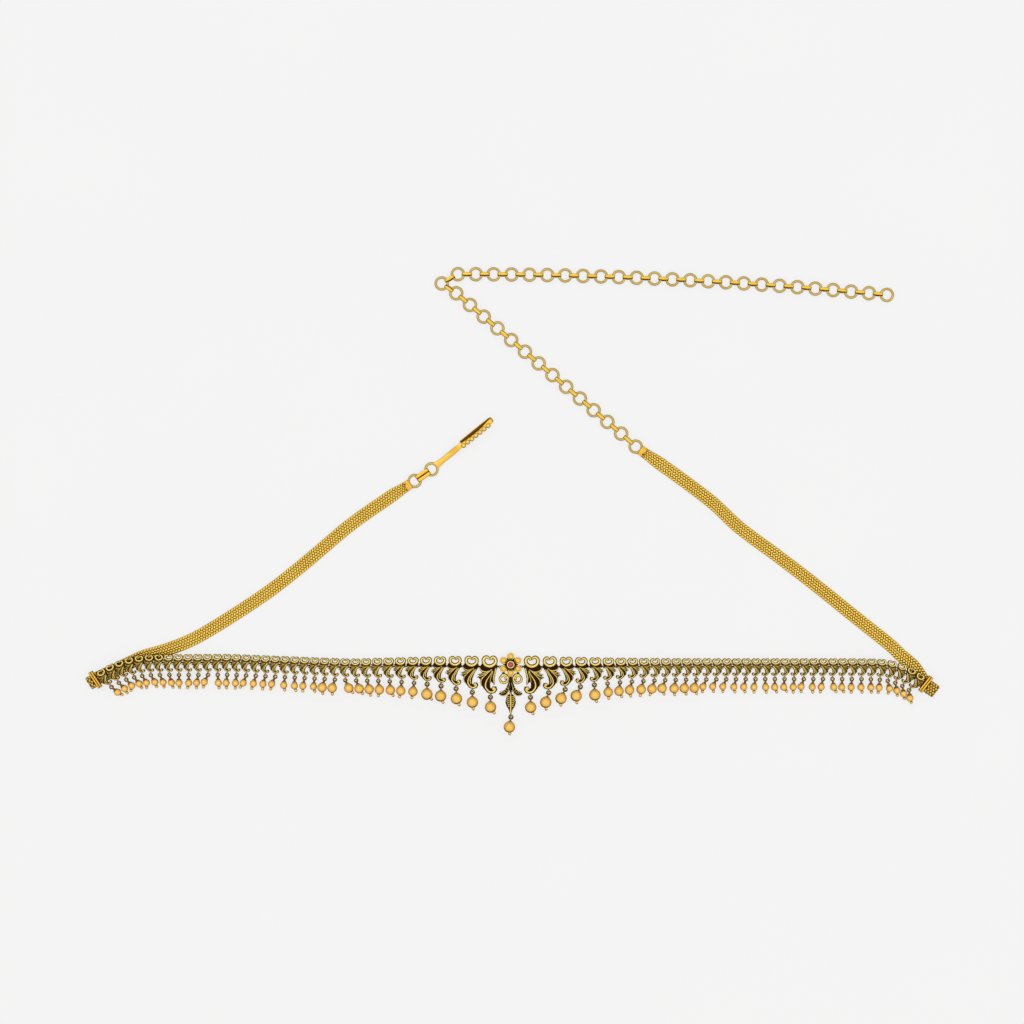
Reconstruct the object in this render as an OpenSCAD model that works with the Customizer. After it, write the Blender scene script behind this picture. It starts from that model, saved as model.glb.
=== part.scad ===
/* [Front row] */
// Scroll motifs on each side of the flower
motifs_a_side = 37; // [20:1:37]
// Distance from the flower's middle to the first motif
first_step = 8.8; // [8.7:0.05:9.4]
// Distance between the smallest motifs
pitch_end = 4.01; // [4:0.01:4.4]
// Extra distance between the first two motifs
pitch_gain = 3.57; // [3.4:0.01:3.8]
// Motifs over which the extra distance fades
pitch_fade = 4.6; // [4:0.1:5]
// Size of the smallest motif, as a share of the first
size_end = 0.488; // [0.45:0.002:0.5]
// Motifs over which the size fades
size_fade = 3.7; // [3.4:0.1:4]
// Thickness of a motif's back
back_h = 1.1; // [1:0.05:1.3]
// Height of a motif's raised ribs
rib_h = 1.5; // [1.4:0.05:1.8]
// Height of a motif's heart wire
heart_h = 1.8; // [1.6:0.05:2]

/* [Links of the row] */
// Distance of the line of links below the hearts
link_drop = 2.3; // [2.2:0.05:2.4]
// Height of the line of links above the ground
link_z = 0.85; // [0.8:0.01:0.9]
// Radius of the hole in a link tab
tab_hole = 0.35; // [0.32:0.01:0.36]
// Radius of a link tab
tab_r = 0.55; // [0.52:0.01:0.58]
// Thickness of a link tab
tab_t = 0.35; // [0.3:0.01:0.38]
// Radius of a link ring's wire
link_wire = 0.12; // [0.1:0.01:0.13]

/* [Drops] */
// Radius of the large balls
ball_large = 2.4; // [2.2:0.05:2.4]
// Radius of the middle balls
ball_middle = 2; // [1.8:0.05:2]
// Radius of the small balls
ball_small = 1.5; // [1.3:0.05:1.5]
// Motifs a side that carry large balls
large_balls = 5; // [3:1:5]
// Last motif a side that carries a middle ball
middle_balls = 14; // [8:1:14]
// Radius of the rounded tip below a ball
tip_r = 0.62; // [0.5:0.02:0.7]

/* [Mesh band] */
// Width of the woven band
band_w = 5.7; // [5:0.1:6]
// Thickness of the woven band
band_t = 1.2; // [1:0.1:1.2]
// Length of band that shows past the left bar
fold_left = 2.6; // [2:0.1:3.4]
// Length of band that shows past the right bar
fold_right = 4.7; // [4:0.1:5.6]

/* [Chain] */
// Radius of a chain ring, to the middle of its wire
ring_r = 2.63; // [2.5:0.01:2.7]
// Radius of a chain ring's wire
ring_wire = 0.4; // [0.35:0.01:0.42]
// Rings on the slanting stretch
slant_rings = 13; // [13:1:13]
// Rings on the long stretch
run_rings = 25; // [10:1:25]
// Width of the strip that joins two rings
strip_w = 1.4; // [1:0.05:1.5]
// Thickness of that strip
strip_t = 0.25; // [0.2:0.01:0.28]

/* [Hook] */
// Length from the middle of the hook's ring to its tip
hook_len = 33.2; // [32:0.1:34]
// Width of the hook's shank
shank_w = 2.5; // [2:0.1:2.6]
// Radius of the beads along the blade
bead_r = 0.95; // [0.8:0.01:1]

/* [Hidden] */
gold = "#d9a534";
dark_gold = "#8a6420";
ball_gold = "#e3ac48";
left = -1;
right = 1;
own_nodes = 6;

// The flower's middle and the height of the hearts' line above it
flower = [-0.75, -68.7];
heart_rise = 1.35;

// Row heading at a distance along it, from the middle out: columns distance, degrees up
left_headings = [[0, 0.3], [12, 1.2], [24, 0.4], [40, -0.8], [62, -1.2], [72, 2.3], [112, 2.4],
    [122, 0], [147, 0], [154, -5], [162, -18], [168, -28], [172, -33]];
right_headings = [[0, 0], [150, 0], [156, -5], [162, -17], [168, -30], [172, -38]];

// How each ball hangs, degrees to the right of straight down: columns ring to ball, ball to tip
left_swings = [[1, 31], [1, 7], [3, 23], [-2, 20], [-1, 42], [-7, -9], [-5, -11], [5, 28], [8, -8],
    [14, 15], [21, 37], [25, 44], [-17, 2], [-16, 7], [-8, 17], [-12, 0], [-2, 18], [-8, 13],
    [-26, -9], [-18, -2], [-17, -17], [-21, -34], [-8, 0], [-7, 6], [5, 11], [-28, -11], [-13, 0],
    [0, -13], [-1, 6], [13, 18], [22, 11], [28, 20], [30, 0], [36, 32], [40, -10], [43, 30],
    [48, 60]];
right_swings = [[1, 20], [-18, 1], [-26, -4], [-26, 3], [2, 13], [4, 5], [-8, 26], [-17, 9],
    [-16, -9], [-18, -19], [-23, 18], [-12, 3], [-14, 17], [-15, 22], [-26, -6], [-28, 9], [-26, 0],
    [-17, 12], [-16, 14], [-12, 0], [2, 8], [-2, 23], [-7, 36], [-8, 0], [-21, 0], [-9, 5],
    [-14, -10], [7, 28], [-4, 24], [-5, 1], [-4, 14], [0, 7], [-4, -11], [15, -15], [13, 8],
    [11, 12], [8, 20]];

// Outlines of a motif at the first motif's size, drawn for the left side.
// Strokes have columns across, up, width. The heart's middle is at zero.
heart_stroke = [[-0.6, 1.3, 0.9], [-1.8, 1.9, 1], [-2.9, 0.7, 1], [-2.65, -0.9, 1], [-1.5, -2.2, 1],
    [0.15, -2.6, 1], [1.8, -2.05, 1], [2.85, -0.6, 1], [2.9, 0.9, 1], [1.9, 1.9, 1],
    [0.85, 1.7, 0.8], [0.6, 0.8, 0.6]];
rim_stroke = [[-3.9, -3.2, 0.5], [-3.3, -4.3, 0.7], [-2, -4.6, 0.7], [-0.6, -4.3, 0.6], [0.5, -3.9, 0.5]];
leaf_stroke = [[-1.6, -5.2, 0.9], [-3.2, -6.3, 1.8], [-4.5, -7, 1.5], [-5.4, -7.3, 0.4]];
outer_rib = [[0.6, -3.9, 0.6], [-0.9, -5.1, 0.7], [-2.1, -6.6, 0.8], [-3, -8.3, 0.8], [-3.3, -9.8, 0.5]];
middle_rib = [[1.9, -4.2, 0.7], [0.4, -6, 0.8], [-0.7, -7.9, 0.9], [-1.5, -9.6, 1], [-1.4, -11.2, 1.1],
    [-0.5, -12.5, 1.1], [0.9, -13.1, 1.2], [2.3, -12.7, 1.2], [2.9, -11.7, 1.2], [2.2, -11, 0.9]];
right_rib = [[3, -3.7, 0.6], [1.8, -5.4, 0.7], [1, -7.2, 0.7], [0.6, -8.8, 0.5]];
outer_strand = [[2.9, -1.6, 0.9], [2.8, -3.6, 1], [2.4, -5.6, 0.9], [1.9, -7.6, 0.8], [1.9, -9.2, 0.8],
    [2.3, -10.8, 0.9]];
back_outline = [[-3.3, -1.2], [-4, -2.2], [-4.2, -3.4], [-3.6, -4.5], [-2.7, -4.8], [-4.4, -6],
    [-5.5, -7.2], [-4.2, -7.9], [-3, -8.1], [-3.4, -9.6], [-2.2, -11.6], [-1, -13.2], [0.9, -13.9],
    [2.6, -13.3], [3.5, -12], [2.9, -10.6], [1.9, -10.7], [1.2, -11.6], [0.4, -11.2], [0.3, -9.8],
    [0.6, -8.2], [1.6, -5.6], [2.6, -4.1], [3.2, -3], [3.3, -1.4], [1.6, -2.1], [-1.4, -2.2]];

// The same outlines with fewer points, for the small motifs of the row
heart_small = [[-0.6, 1.2, 0.9], [-1.9, 1.9, 1], [-2.9, 0.5, 1], [-2, -1.9, 1], [0.1, -2.6, 1],
    [2.2, -1.8, 1], [2.9, 0.5, 1], [1.9, 1.9, 1], [0.8, 1.2, 0.8]];
middle_small = [[1.9, -4.2, 0.8], [-0.7, -7.9, 0.9], [-1.4, -11, 1], [0.9, -13, 1.1], [2.8, -11.9, 1]];
outer_small = [[0.6, -3.9, 0.6], [-2.1, -6.6, 0.9], [-3.2, -9.2, 0.6]];
back_small = [[-3.3, -1.2], [-4.2, -3], [-2.7, -4.8], [-5.5, -7.2], [-3, -8.1], [-3.4, -9.6],
    [-1, -13.2], [0.9, -13.9], [3.5, -12], [2.9, -10.6], [1.2, -11.6], [0.3, -9.8], [1.6, -5.6],
    [3.2, -3], [3.3, -1.4], [0, -2.2]];

// Centre motif: side leaf and feather leaf, columns across, up, width, from the flower's middle
side_leaf = [[-0.5, -7.4, 0.9], [-0.9, -9.2, 1.4], [-1.5, -10.9, 1.8], [-2.9, -12.2, 1.9], [-4.7, -12.2, 0.7]];
leaf_edge = [[-0.8, -10.2, 0.5], [-1.1, -11.8, 0.5], [-2.1, -13, 0.6], [-3.6, -13.2, 0.5], [-4.7, -12.5, 0.4]];
feather = [[0, -12.4, 1.8], [0, -13.9, 3.5], [0, -15.9, 4.4], [0, -17.6, 3.4], [0, -18.9, 1.6],
    [0, -20.3, 1]];

// Middle line of each band from the fold in, columns across, up
left_route = [[-166.6, -71], [-159.4, -67.4], [-154.4, -65.2], [-144.8, -62.4], [-132.7, -57.4],
    [-116.6, -47.7], [-100.6, -36.9], [-84.5, -24], [-68.4, -10.4], [-52.4, 0.9], [-44, 6.4]];
right_route = [[168.5, -69.6], [163, -64.8], [158, -60.1], [144.1, -49], [126.6, -34.9],
    [111.3, -23.2], [95.3, -11.3], [83.5, -0.4], [68.5, 10.9], [54.6, 20.7]];

// Chain route: middles of rings at its corners, and how far the long stretch bows down
slant_start = [45.6, 28.2];
slant_stop = [-23.6, 87.1];
turn_ring = [-29.7, 91.2];
run_start = [-22.9, 95.1];
run_stop = [157.1, 86.4];

// Clearances between loose pieces
gap = 0.135;
ring_z = strip_t + gap + ring_wire + 0.05;

// Distances and sizes along the row; below the heart the small motifs are shorter for their width
plume_drawn_in = 0.16;
function pitch(i) = pitch_end + pitch_gain * exp(-(i - 1) / pitch_fade);
function size(i) = size_end + (1 - size_end) * exp(-(i - 1) / size_fade);
function tall(i) = size(i) * (1 - plume_drawn_in * (1 - size(i)));
function fade(t) = let (u = max(0, min(1, t))) u * u * (3 - 2 * u);
function headings(side) = side == left ? left_headings : right_headings;

// Stations of the row's link line: columns across from the flower, up, degrees up, distance
function stations(side) = let (h = headings(side))
    [for (i = 0, d = 0, p = [0, 0];
          i <= motifs_a_side + 1;
          s = i == 0 ? first_step : pitch(i),
          a = (lookup(d, h) + lookup(d + s, h)) / 2,
          p = p + s * [cos(a), sin(a)], d = d + s, i = i + 1)
        [p[0], p[1], lookup(d, h), d]];
left_row = stations(left);
right_row = stations(right);
function station(side, i) = side == left ? left_row[i] : right_row[i];

// The row rises over the band near its ends, with a little more so that no tilted plate dips
lift_h = band_t + 0.2;
tilt_rise = 0.04;
rise_run = 12;
function lift_from(side) = side == left ? 122 : 132;
function lift_to(side) = side == left ? 143 : 161;
function lift(side, d) = lift_h * fade((d - lift_from(side)) / (lift_to(side) - lift_from(side)))
    + tilt_rise * fade((d - lift_from(side) + rise_run) / rise_run);
function slope(side, d) = atan((lift(side, d + 1) - lift(side, d - 1)) / 2);

// Frame of a station: outward is -X, as the motif is drawn, and the right side is its mirror image
module at_station(side, i) {
    s = station(side, i);
    translate([flower[0] + side * s[0], flower[1] + heart_rise - link_drop + s[1], lift(side, s[3]) + link_z])
        rotate([0, 0, side * s[2]])
            mirror([side == right ? 1 : 0, 0, 0])
                rotate([0, slope(side, s[3]), 0])
                    translate([0, link_drop, -link_z])
                        children();
}

// Link places of a motif: tab outward, ring inward
notch_w = 0.9;
function tab_x(i) = i == 0 ? 4.75 : 1.75 + 3.2 * (size(i) - size_end);
function link_r(i) = 0.57 + 0.14 * (size(i) - size_end);
function ring_x(i) = (i == 1 ? first_step : pitch(i - 1)) - tab_x(i - 1) - 2 * link_r(i);

// Stroke along a path whose rows are across, up, width
function heading_at(p, i) = let (a = p[max(0, i - 1)], b = p[min(len(p) - 1, i + 1)],
    t = [b[0] - a[0], b[1] - a[1]]) t / norm(t);
function stroke_side(p, s) = [for (i = [0 : len(p) - 1]) let (t = heading_at(p, i))
    [p[i][0] - s * t[1] * p[i][2] / 2, p[i][1] + s * t[0] * p[i][2] / 2]];
function turned(p) = [for (i = [len(p) - 1 : -1 : 0]) p[i]];
function sized(p, k, y) = [for (q = p) [k * q[0], y * q[1]]];

// Stroke at size k across and y up
module stroke(path, k, h, y) {
    linear_extrude(height = h)
        polygon(sized(concat(stroke_side(path, 1), turned(stroke_side(path, -1))), k, y));
}

module torus(r, w) {
    rotate_extrude($fn = 32) translate([r, 0]) circle(r = w, $fn = 16);
}

// Flat-sided ring that lies down, or stands up in the plane of X and Z or of Y and Z
module flat_ring(r, w) {
    translate([0, 0, -w]) linear_extrude(height = 2 * w)
        difference() {
            circle(r = r + w, $fn = 28);
            circle(r = r - w, $fn = 28);
        }
}
module ring_across(r, w) { rotate([90, 0, 0]) flat_ring(r, w); }
module ring_along(r, w) { rotate([0, 90, 0]) flat_ring(r, w); }

// Drop sizes
function ball_r(i) = i <= large_balls ? ball_large : i <= middle_balls ? ball_middle : ball_small;
function hang(i) = i <= large_balls ? 4.4 : i <= middle_balls ? 3.7 : 3.4;
function own_ring(i) = i <= large_balls;
function jump_r(i) = own_ring(i) ? 0.85 : 0.75;
function jump_wire(i) = own_ring(i) ? 0.24 : 0.2;
function eye_r(i) = own_ring(i) ? 0.55 : 0.54;
function eye_wire(i) = own_ring(i) ? 0.15 : 0.12;
curl_foot = [0.5, -13.6];
function jump_at(i) = i == 0 ? [0.1, -22.1] : [curl_foot[0] * size(i), -13.9 * tall(i) - 1.25];

// Eye under a motif that a drop's ring runs through
module drop_eye(i, foot) {
    j = jump_at(i);
    translate([j[0], j[1] + jump_r(i), link_z]) ring_along(eye_r(i), eye_wire(i));
    stem_y = j[1] + jump_r(i) + eye_r(i);
    translate([j[0] - 0.3, stem_y - 0.1, link_z - 0.25])
        cube([0.6, max(0.2, foot - stem_y + 0.4), 0.5]);
}

module link_bar(i) {
    difference() {
        translate([-tab_x(i), -link_drop, link_z - tab_t / 2])
            linear_extrude(height = tab_t) {
                circle(r = tab_r, $fn = 24);
                translate([0, -0.35]) square([tab_x(i) + ring_x(i) + 0.05, 0.7]);
            }
        translate([-tab_x(i), -link_drop, 0])
            cylinder(r = tab_hole, h = 2 * link_z, $fn = 24);
    }
}

module full_relief(k, y) {
    linear_extrude(height = back_h) polygon(sized(back_outline, k, y));
    stroke(heart_stroke, k, heart_h, k);
    stroke(rim_stroke, k, back_h + 0.15, y);
    stroke(leaf_stroke, k, back_h + 0.2, y);
    stroke(outer_rib, k, rib_h, y);
    stroke(middle_rib, k, rib_h + 0.1, y);
    stroke(right_rib, k, rib_h, y);
}

module small_relief(k, y) {
    linear_extrude(height = back_h) polygon(sized(back_small, k, y));
    stroke(heart_small, k, heart_h, k);
    stroke(outer_small, k, rib_h, y);
    stroke(middle_small, k, rib_h + 0.1, y);
}

module scroll_motif(side, i) {
    k = size(i);
    at_station(side, i) {
        difference() {
            union() {
                if (i > own_nodes) small_relief(k, tall(i));
                else full_relief(k, tall(i));
                if (i == 1) stroke(outer_strand, k, rib_h, k);
            }
            translate([-tab_x(i), -link_drop, -1]) cylinder(r = tab_hole, h = 4, $fn = 24);
            translate([-tab_x(i) - 3, -link_drop - notch_w / 2, -1]) cube([3, notch_w, 4]);
        }
        link_bar(i);
        translate([ring_x(i) + link_r(i), -link_drop, link_z]) ring_across(link_r(i), link_wire);
        drop_eye(i, curl_foot[1] * tall(i));
    }
}

// Drop with its middle at the jump ring, leaning so that the ball rests on the ground
module ball_drop(i, swing, tip_turn, rise) {
    r = ball_r(i);
    own = own_ring(i);
    hinge = own ? -jump_r(i) : jump_r(i) * cos(swing);
    lean = asin((r - link_z - rise) / (hang(i) + hinge));
    rotate([0, 0, swing]) {
        if (own) torus(jump_r(i), jump_wire(i));
        translate([0, hinge - hinge * cos(lean), hinge * sin(lean)]) rotate([-lean, 0, 0]) {
            if (own) translate([0, -jump_r(i), 0]) ring_along(eye_r(i), eye_wire(i));
            else flat_ring(jump_r(i), jump_wire(i));
            neck_from = own ? jump_r(i) + eye_r(i) : jump_r(i);
            rotate([90, 0, 0]) {
                translate([0, 0, neck_from]) cylinder(r = 0.25, h = hang(i) - neck_from, $fn = 16);
                translate([0, 0, hang(i) - r - 0.3]) cylinder(r = 0.6, h = r, $fn = 20);
            }
            translate([0, -hang(i), 0]) {
                sphere(r = r, $fn = 32);
                rotate([90, 0, tip_turn - swing]) {
                    cylinder(r = 0.42, h = r + tip_r, $fn = 16);
                    translate([0, 0, r + tip_r]) sphere(r = tip_r, $fn = 20);
                }
            }
        }
    }
}

module row_drop(side, i) {
    s = station(side, i);
    swings = side == left ? left_swings[i - 1] : right_swings[i - 1];
    j = jump_at(i);
    swing = swings[0] - side * s[2];
    ball_x = j[0] - side * hang(i) * sin(swing);
    at_station(side, i)
        translate([j[0], j[1], link_z])
            mirror([side == right ? 1 : 0, 0, 0])
                ball_drop(i, swing, swings[1] - side * s[2],
                    lift(side, s[3]) - ball_x * sin(slope(side, s[3])));
}

module motif(side, i) { color(gold) scroll_motif(side, i); }
module drop(side, i) { color(ball_gold) row_drop(side, i); }
module scroll_row(side) { for (i = [own_nodes + 1 : motifs_a_side]) motif(side, i); }
module drop_row(side) { for (i = [own_nodes + 1 : motifs_a_side]) drop(side, i); }

// Flower, curls, stem, side leaves and feather leaf
petal_at = 3.4;
petal_r = 1.5;
bezel_r = 1.55;
seat_r = 1.15;
seat_z = 1.35;
bezel_h = 2.1;
curl_at = [2.86, -6];
vein_y = -14.5;
vein_pitch = 0.85;
vein_turn = 28;
vein_len = 1.9;
vein_w = 0.42;
mid_rib_h = 1.7;
feather_foot = -20.2;

module flower_head() {
    difference() {
        union() {
            cylinder(r = petal_at, h = back_h, $fn = 48);
            for (a = [30 : 60 : 330])
                rotate([0, 0, a]) translate([petal_at, 0, 0]) {
                    cylinder(r = petal_r, h = 1.4, $fn = 32);
                    translate([0, 0, 1.3]) sphere(r = 0.82 * petal_r, $fn = 32);
                }
            cylinder(r = bezel_r, h = bezel_h, $fn = 32);
        }
        translate([0, 0, seat_z]) cylinder(r = seat_r, h = 2, $fn = 32);
        for (s = [-1, 1])
            translate([s * tab_x(0), heart_rise - link_drop, -1]) cylinder(r = tab_hole, h = 4, $fn = 24);
    }
}

module flower_curl() {
    translate([curl_at[0], curl_at[1], 0]) {
        difference() {
            cylinder(r = 2.2, h = 1.5, $fn = 40);
            translate([0, 0, -1]) cylinder(r = 1.35, h = 4, $fn = 32);
        }
        translate([-1.1, 0.4, 0]) cylinder(r = 0.5, h = 1.5, $fn = 20);
    }
    translate([3.05, -3.5, 0]) cylinder(r = 0.6, h = 1.3, $fn = 20);
}

module centre_motif() {
    color(gold) translate([flower[0], flower[1], 0]) {
        flower_head();
        for (m = [0, 1]) mirror([m, 0, 0]) {
            flower_curl();
            stroke(side_leaf, 1, back_h, 1);
            stroke(leaf_edge, 1, rib_h, 1);
            for (j = [0 : 4])
                translate([0.3, vein_y - vein_pitch * j, 0]) rotate([0, 0, vein_turn])
                    cube([vein_len - 0.12 * pow(j - 2, 2), vein_w, 1.4]);
        }
        translate([0, -6.2, 0]) cylinder(r = 1, h = 1.4, $fn = 24);
        translate([-0.45, -13.5, 0]) cube([0.9, 9, back_h]);
        stroke(feather, 1, back_h, 1);
        translate([-0.4, feather_foot, 0]) cube([0.8, 8.5, mid_rib_h]);
        for (s = [-1, 1])
            difference() {
                translate([s * tab_x(0), heart_rise - link_drop, link_z - tab_t / 2])
                    linear_extrude(height = tab_t) {
                        circle(r = tab_r, $fn = 24);
                        translate([s > 0 ? -2 : 0, -0.35]) square([2, 0.7]);
                    }
                translate([s * tab_x(0), heart_rise - link_drop, 0])
                    cylinder(r = tab_hole, h = 2 * link_z, $fn = 24);
            }
        drop_eye(0, feather_foot);
    }
}

module centre_stone() {
    girdle = 1.02;
    color("#d2378c") translate([flower[0], flower[1], seat_z + gap]) {
        cylinder(r1 = 0.5, r2 = girdle, h = 0.35, $fn = 10);
        translate([0, 0, 0.35]) cylinder(r = girdle, h = 0.12, $fn = 10);
        translate([0, 0, 0.47]) cylinder(r1 = girdle, r2 = 0.6, h = 0.35, $fn = 10);
    }
}

module centre_drop() {
    j = jump_at(0);
    color(ball_gold) translate([flower[0] + j[0], flower[1] + j[1], link_z])
        ball_drop(0, -9, 2, 0);
}

// Bar across the band's end, carried at the row's next station
bar_len = 7.8;
bar_w = 1.9;
bar_i = motifs_a_side + 1;
bar_shift = -1.1;
bar_h = 1.7;
groove_w = 0.5;
groove_z = 1.35;
function bar_x() = ring_x(bar_i);

module end_bar(side) {
    color(gold) at_station(side, bar_i) {
        translate([bar_x() - bar_w, -link_drop - bar_len / 2 - bar_shift, 0])
            difference() {
                cube([bar_w, bar_len, bar_h]);
                translate([(bar_w - groove_w) / 2, -1, groove_z]) cube([groove_w, bar_len + 2, 1]);
            }
        translate([ring_x(bar_i) + link_r(bar_i), -link_drop, link_z])
            ring_across(link_r(bar_i), link_wire);
    }
}

// Band: sections have columns place, heading, pitch; its middle line turns under in a half circle
fold_r = (band_t + 0.15) / 2;
function unit_at(a) = [cos(a), sin(a)];
function bar_out(side) = side == left ? 180 - station(side, bar_i)[2] : station(side, bar_i)[2];
function bar_back(side) = let (s = station(side, bar_i), a = bar_out(side),
    face = (bar_w - bar_x() + gap) * unit_at(a), down = bar_shift * unit_at(a + side * -90))
    [flower[0] + side * s[0], flower[1] + heart_rise - link_drop + s[1]] + face + down;
function spline(a, b, c, d, t) = 0.5 * (2 * b + (c - a) * t + (2 * a - 5 * b + 4 * c - d) * t * t
    + (3 * b - a - 3 * c + d) * t * t * t);
function along(p, n) = [for (i = [0 : len(p) - 2], j = [0 : n - 1])
    spline(p[max(0, i - 1)], p[i], p[i + 1], p[min(len(p) - 1, i + 2)], j / n)];
function band_line(side) = let (a = bar_out(side), f = side == left ? fold_left : fold_right,
    turn = bar_back(side) + (f - fold_r - band_t / 2) * unit_at(a),
    route = side == left ? left_route : right_route,
    low = concat(along(concat([turn, turn - 4 * unit_at(a)], route), 3), [route[len(route) - 1]]))
    concat(
        [[[each bar_back(side), band_t / 2 + 2 * fold_r], a, 0]],
        [for (t = [0 : 30 : 180]) [[each (turn + fold_r * sin(t) * unit_at(a)),
            band_t / 2 + fold_r + fold_r * cos(t)], a, -t]],
        [for (i = [1 : len(low) - 1])
            let (v = low[min(len(low) - 1, i + 1)] - low[i - 1])
                [[each low[i], band_t / 2], atan2(v[1], v[0]) + 180, -180]]);
corner = 0.3;
function outline() = let (w = band_w / 2, t = band_t / 2, c = corner)
    [[w, -t + c], [w, t - c], [w - c, t], [c - w, t], [-w, t - c], [-w, c - t], [c - w, -t], [w - c, -t]];

module band(side) {
    line = band_line(side);
    n = len(outline());
    points = [for (s = line, o = outline())
        s[0] + o[0] * [-sin(s[1]), cos(s[1]), 0]
            + o[1] * [-sin(s[2]) * cos(s[1]), -sin(s[2]) * sin(s[1]), cos(s[2])]];
    faces = concat([[for (j = [0 : n - 1]) j]],
        [for (i = [0 : len(line) - 2], j = [0 : n - 1])
            [i * n + j, (i + 1) * n + j, (i + 1) * n + (j + 1) % n, i * n + (j + 1) % n]],
        [[for (j = [n - 1 : -1 : 0]) (len(line) - 1) * n + j]]);
    color("#cf9a2e") polyhedron(points = points, faces = faces, convexity = 6);
}

// Cap on the band's inner end with its soldered ring
cap_over = 1.4;
cap_end = 0.9;
cap_w = 4.2;
function band_end(side) = let (p = side == left ? left_route : right_route) p[len(p) - 1];
function band_end_heading(side) = let (p = side == left ? left_route : right_route,
    v = p[len(p) - 1] - p[len(p) - 2]) atan2(v[1], v[0]);
function cap_ring(side) = band_end(side) + (cap_end + ring_r) * unit_at(band_end_heading(side));

module end_cap(side) {
    p = band_end(side);
    color(gold) {
        translate([p[0], p[1], 0]) rotate([0, 0, band_end_heading(side)]) {
            translate([2 * gap, -cap_w / 2, 0]) cube([cap_end, cap_w, band_t + 0.5]);
            translate([-cap_over, -cap_w / 2, band_t + gap]) cube([cap_over + 0.5, cap_w, 0.38]);
        }
        translate([cap_ring(side)[0], cap_ring(side)[1], ring_z]) torus(ring_r, ring_wire);
    }
}

// Strip bent round two ring wires that lie span apart
module strip_link(span, wide) {
    bore_r = ring_r - ring_wire;
    half = span / 2 + bore_r - sqrt(bore_r * bore_r - wide * wide / 4);
    inner = ring_wire + gap;
    rotate([90, 0, 0]) translate([0, 0, -wide / 2]) linear_extrude(height = wide)
        difference() {
            union() {
                for (s = [-1, 1]) translate([s * half, 0]) circle(r = inner + strip_t, $fn = 24);
                square([2 * half, 2 * (inner + strip_t)], center = true);
            }
            for (s = [-1, 1]) translate([s * half, 0]) circle(r = inner, $fn = 24);
            square([2 * half, 2 * inner], center = true);
        }
}

module link_between(a, b, wide) {
    v = b - a;
    mid = (a + b) / 2;
    translate([mid[0], mid[1], ring_z]) rotate([0, 0, atan2(v[1], v[0])])
        strip_link(norm(v) - 2 * ring_r, wide);
}

module chain_stretch(rings) {
    for (i = [0 : len(rings) - 2]) {
        link_between(rings[i], rings[i + 1], strip_w);
        translate([rings[i + 1][0], rings[i + 1][1], ring_z]) torus(ring_r, ring_wire);
    }
}

slant = concat([cap_ring(right)],
    [for (i = [0 : slant_rings - 1]) slant_start + (slant_stop - slant_start) * i / (slant_rings - 1)]);
run = concat([slant[slant_rings], turn_ring], [for (i = [0 : run_rings - 1]) let (t = i / (run_rings - 1))
    [run_start[0] + (run_stop[0] - run_start[0]) * t, run_start[1] + (run_stop[1] - run_start[1]) * t * t]]);

module chain_slant() { color("#d6a83c") chain_stretch(slant); }
module chain_run() { color("#d6a83c") chain_stretch(run); }

// Hook: side view as a stroke with columns along, up, thickness
hook_turn = 39;
hook_step = 8.57;
hook_step_turn = 34.6;
hook_ring = cap_ring(left) + hook_step * unit_at(hook_step_turn);
blade_w = 1.95;
blade_t = 0.72;
blade_z = 2.2;
tongue_z = blade_t / 2;
bead_from = 16.8;
bead_count = 7;
bead_pitch = 2.2;
bead_side = -0.85;
blade_from = 15;
tongue_from = 16.5;
tongue_w = 2.1;
tongue_side = -0.3;
hook_link_w = 2.3;
shank_line = [[ring_r - 0.1, ring_z, 0.9], [10.5, ring_z, 0.9], [14.4, blade_z, blade_t],
    [16, blade_z, blade_t]];

module hook() {
    bend_r = (blade_z - tongue_z) / 2;
    bend_x = hook_len - bend_r - 0.4;
    color(gold) translate([hook_ring[0], hook_ring[1], 0]) rotate([0, 0, hook_turn]) {
        translate([0, 0, ring_z]) torus(ring_r, ring_wire);
        translate([0, shank_w / 2, 0]) rotate([90, 0, 0]) stroke(shank_line, 1, shank_w, 1);
        translate([blade_from, -blade_w / 2, blade_z - tongue_z])
            cube([bend_x - blade_from, blade_w, blade_t]);
        translate([bend_x, blade_w / 2, blade_z - bend_r]) rotate([90, 0, 0])
            linear_extrude(height = blade_w) intersection() {
                difference() {
                    circle(r = bend_r + tongue_z, $fn = 40);
                    circle(r = bend_r - tongue_z, $fn = 40);
                }
                translate([0, -3]) square([3, 6]);
            }
        translate([tongue_from, tongue_side, 0])
            cube([bend_x - tongue_from + 0.3, tongue_w, blade_t]);
        for (i = [0 : bead_count - 1])
            translate([bead_from + bead_pitch * i, bead_side, blade_z]) sphere(r = bead_r, $fn = 24);
    }
}

module hook_link() {
    color(gold) link_between(cap_ring(left), hook_ring, hook_link_w);
}

centre_motif();
centre_stone();
centre_drop();
motif(left, 1);  // motif_left_1
motif(left, 2);  // motif_left_2
motif(left, 3);  // motif_left_3
motif(left, 4);  // motif_left_4
motif(left, 5);  // motif_left_5
motif(left, 6);  // motif_left_6
motif(right, 1);  // motif_right_1
motif(right, 2);  // motif_right_2
motif(right, 3);  // motif_right_3
motif(right, 4);  // motif_right_4
motif(right, 5);  // motif_right_5
motif(right, 6);  // motif_right_6
drop(left, 1);  // drop_left_1
drop(left, 2);  // drop_left_2
drop(left, 3);  // drop_left_3
drop(left, 4);  // drop_left_4
drop(left, 5);  // drop_left_5
drop(left, 6);  // drop_left_6
drop(right, 1);  // drop_right_1
drop(right, 2);  // drop_right_2
drop(right, 3);  // drop_right_3
drop(right, 4);  // drop_right_4
drop(right, 5);  // drop_right_5
drop(right, 6);  // drop_right_6
scroll_row(left);  // scroll_row_left
scroll_row(right);  // scroll_row_right
drop_row(left);  // drop_row_left
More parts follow.
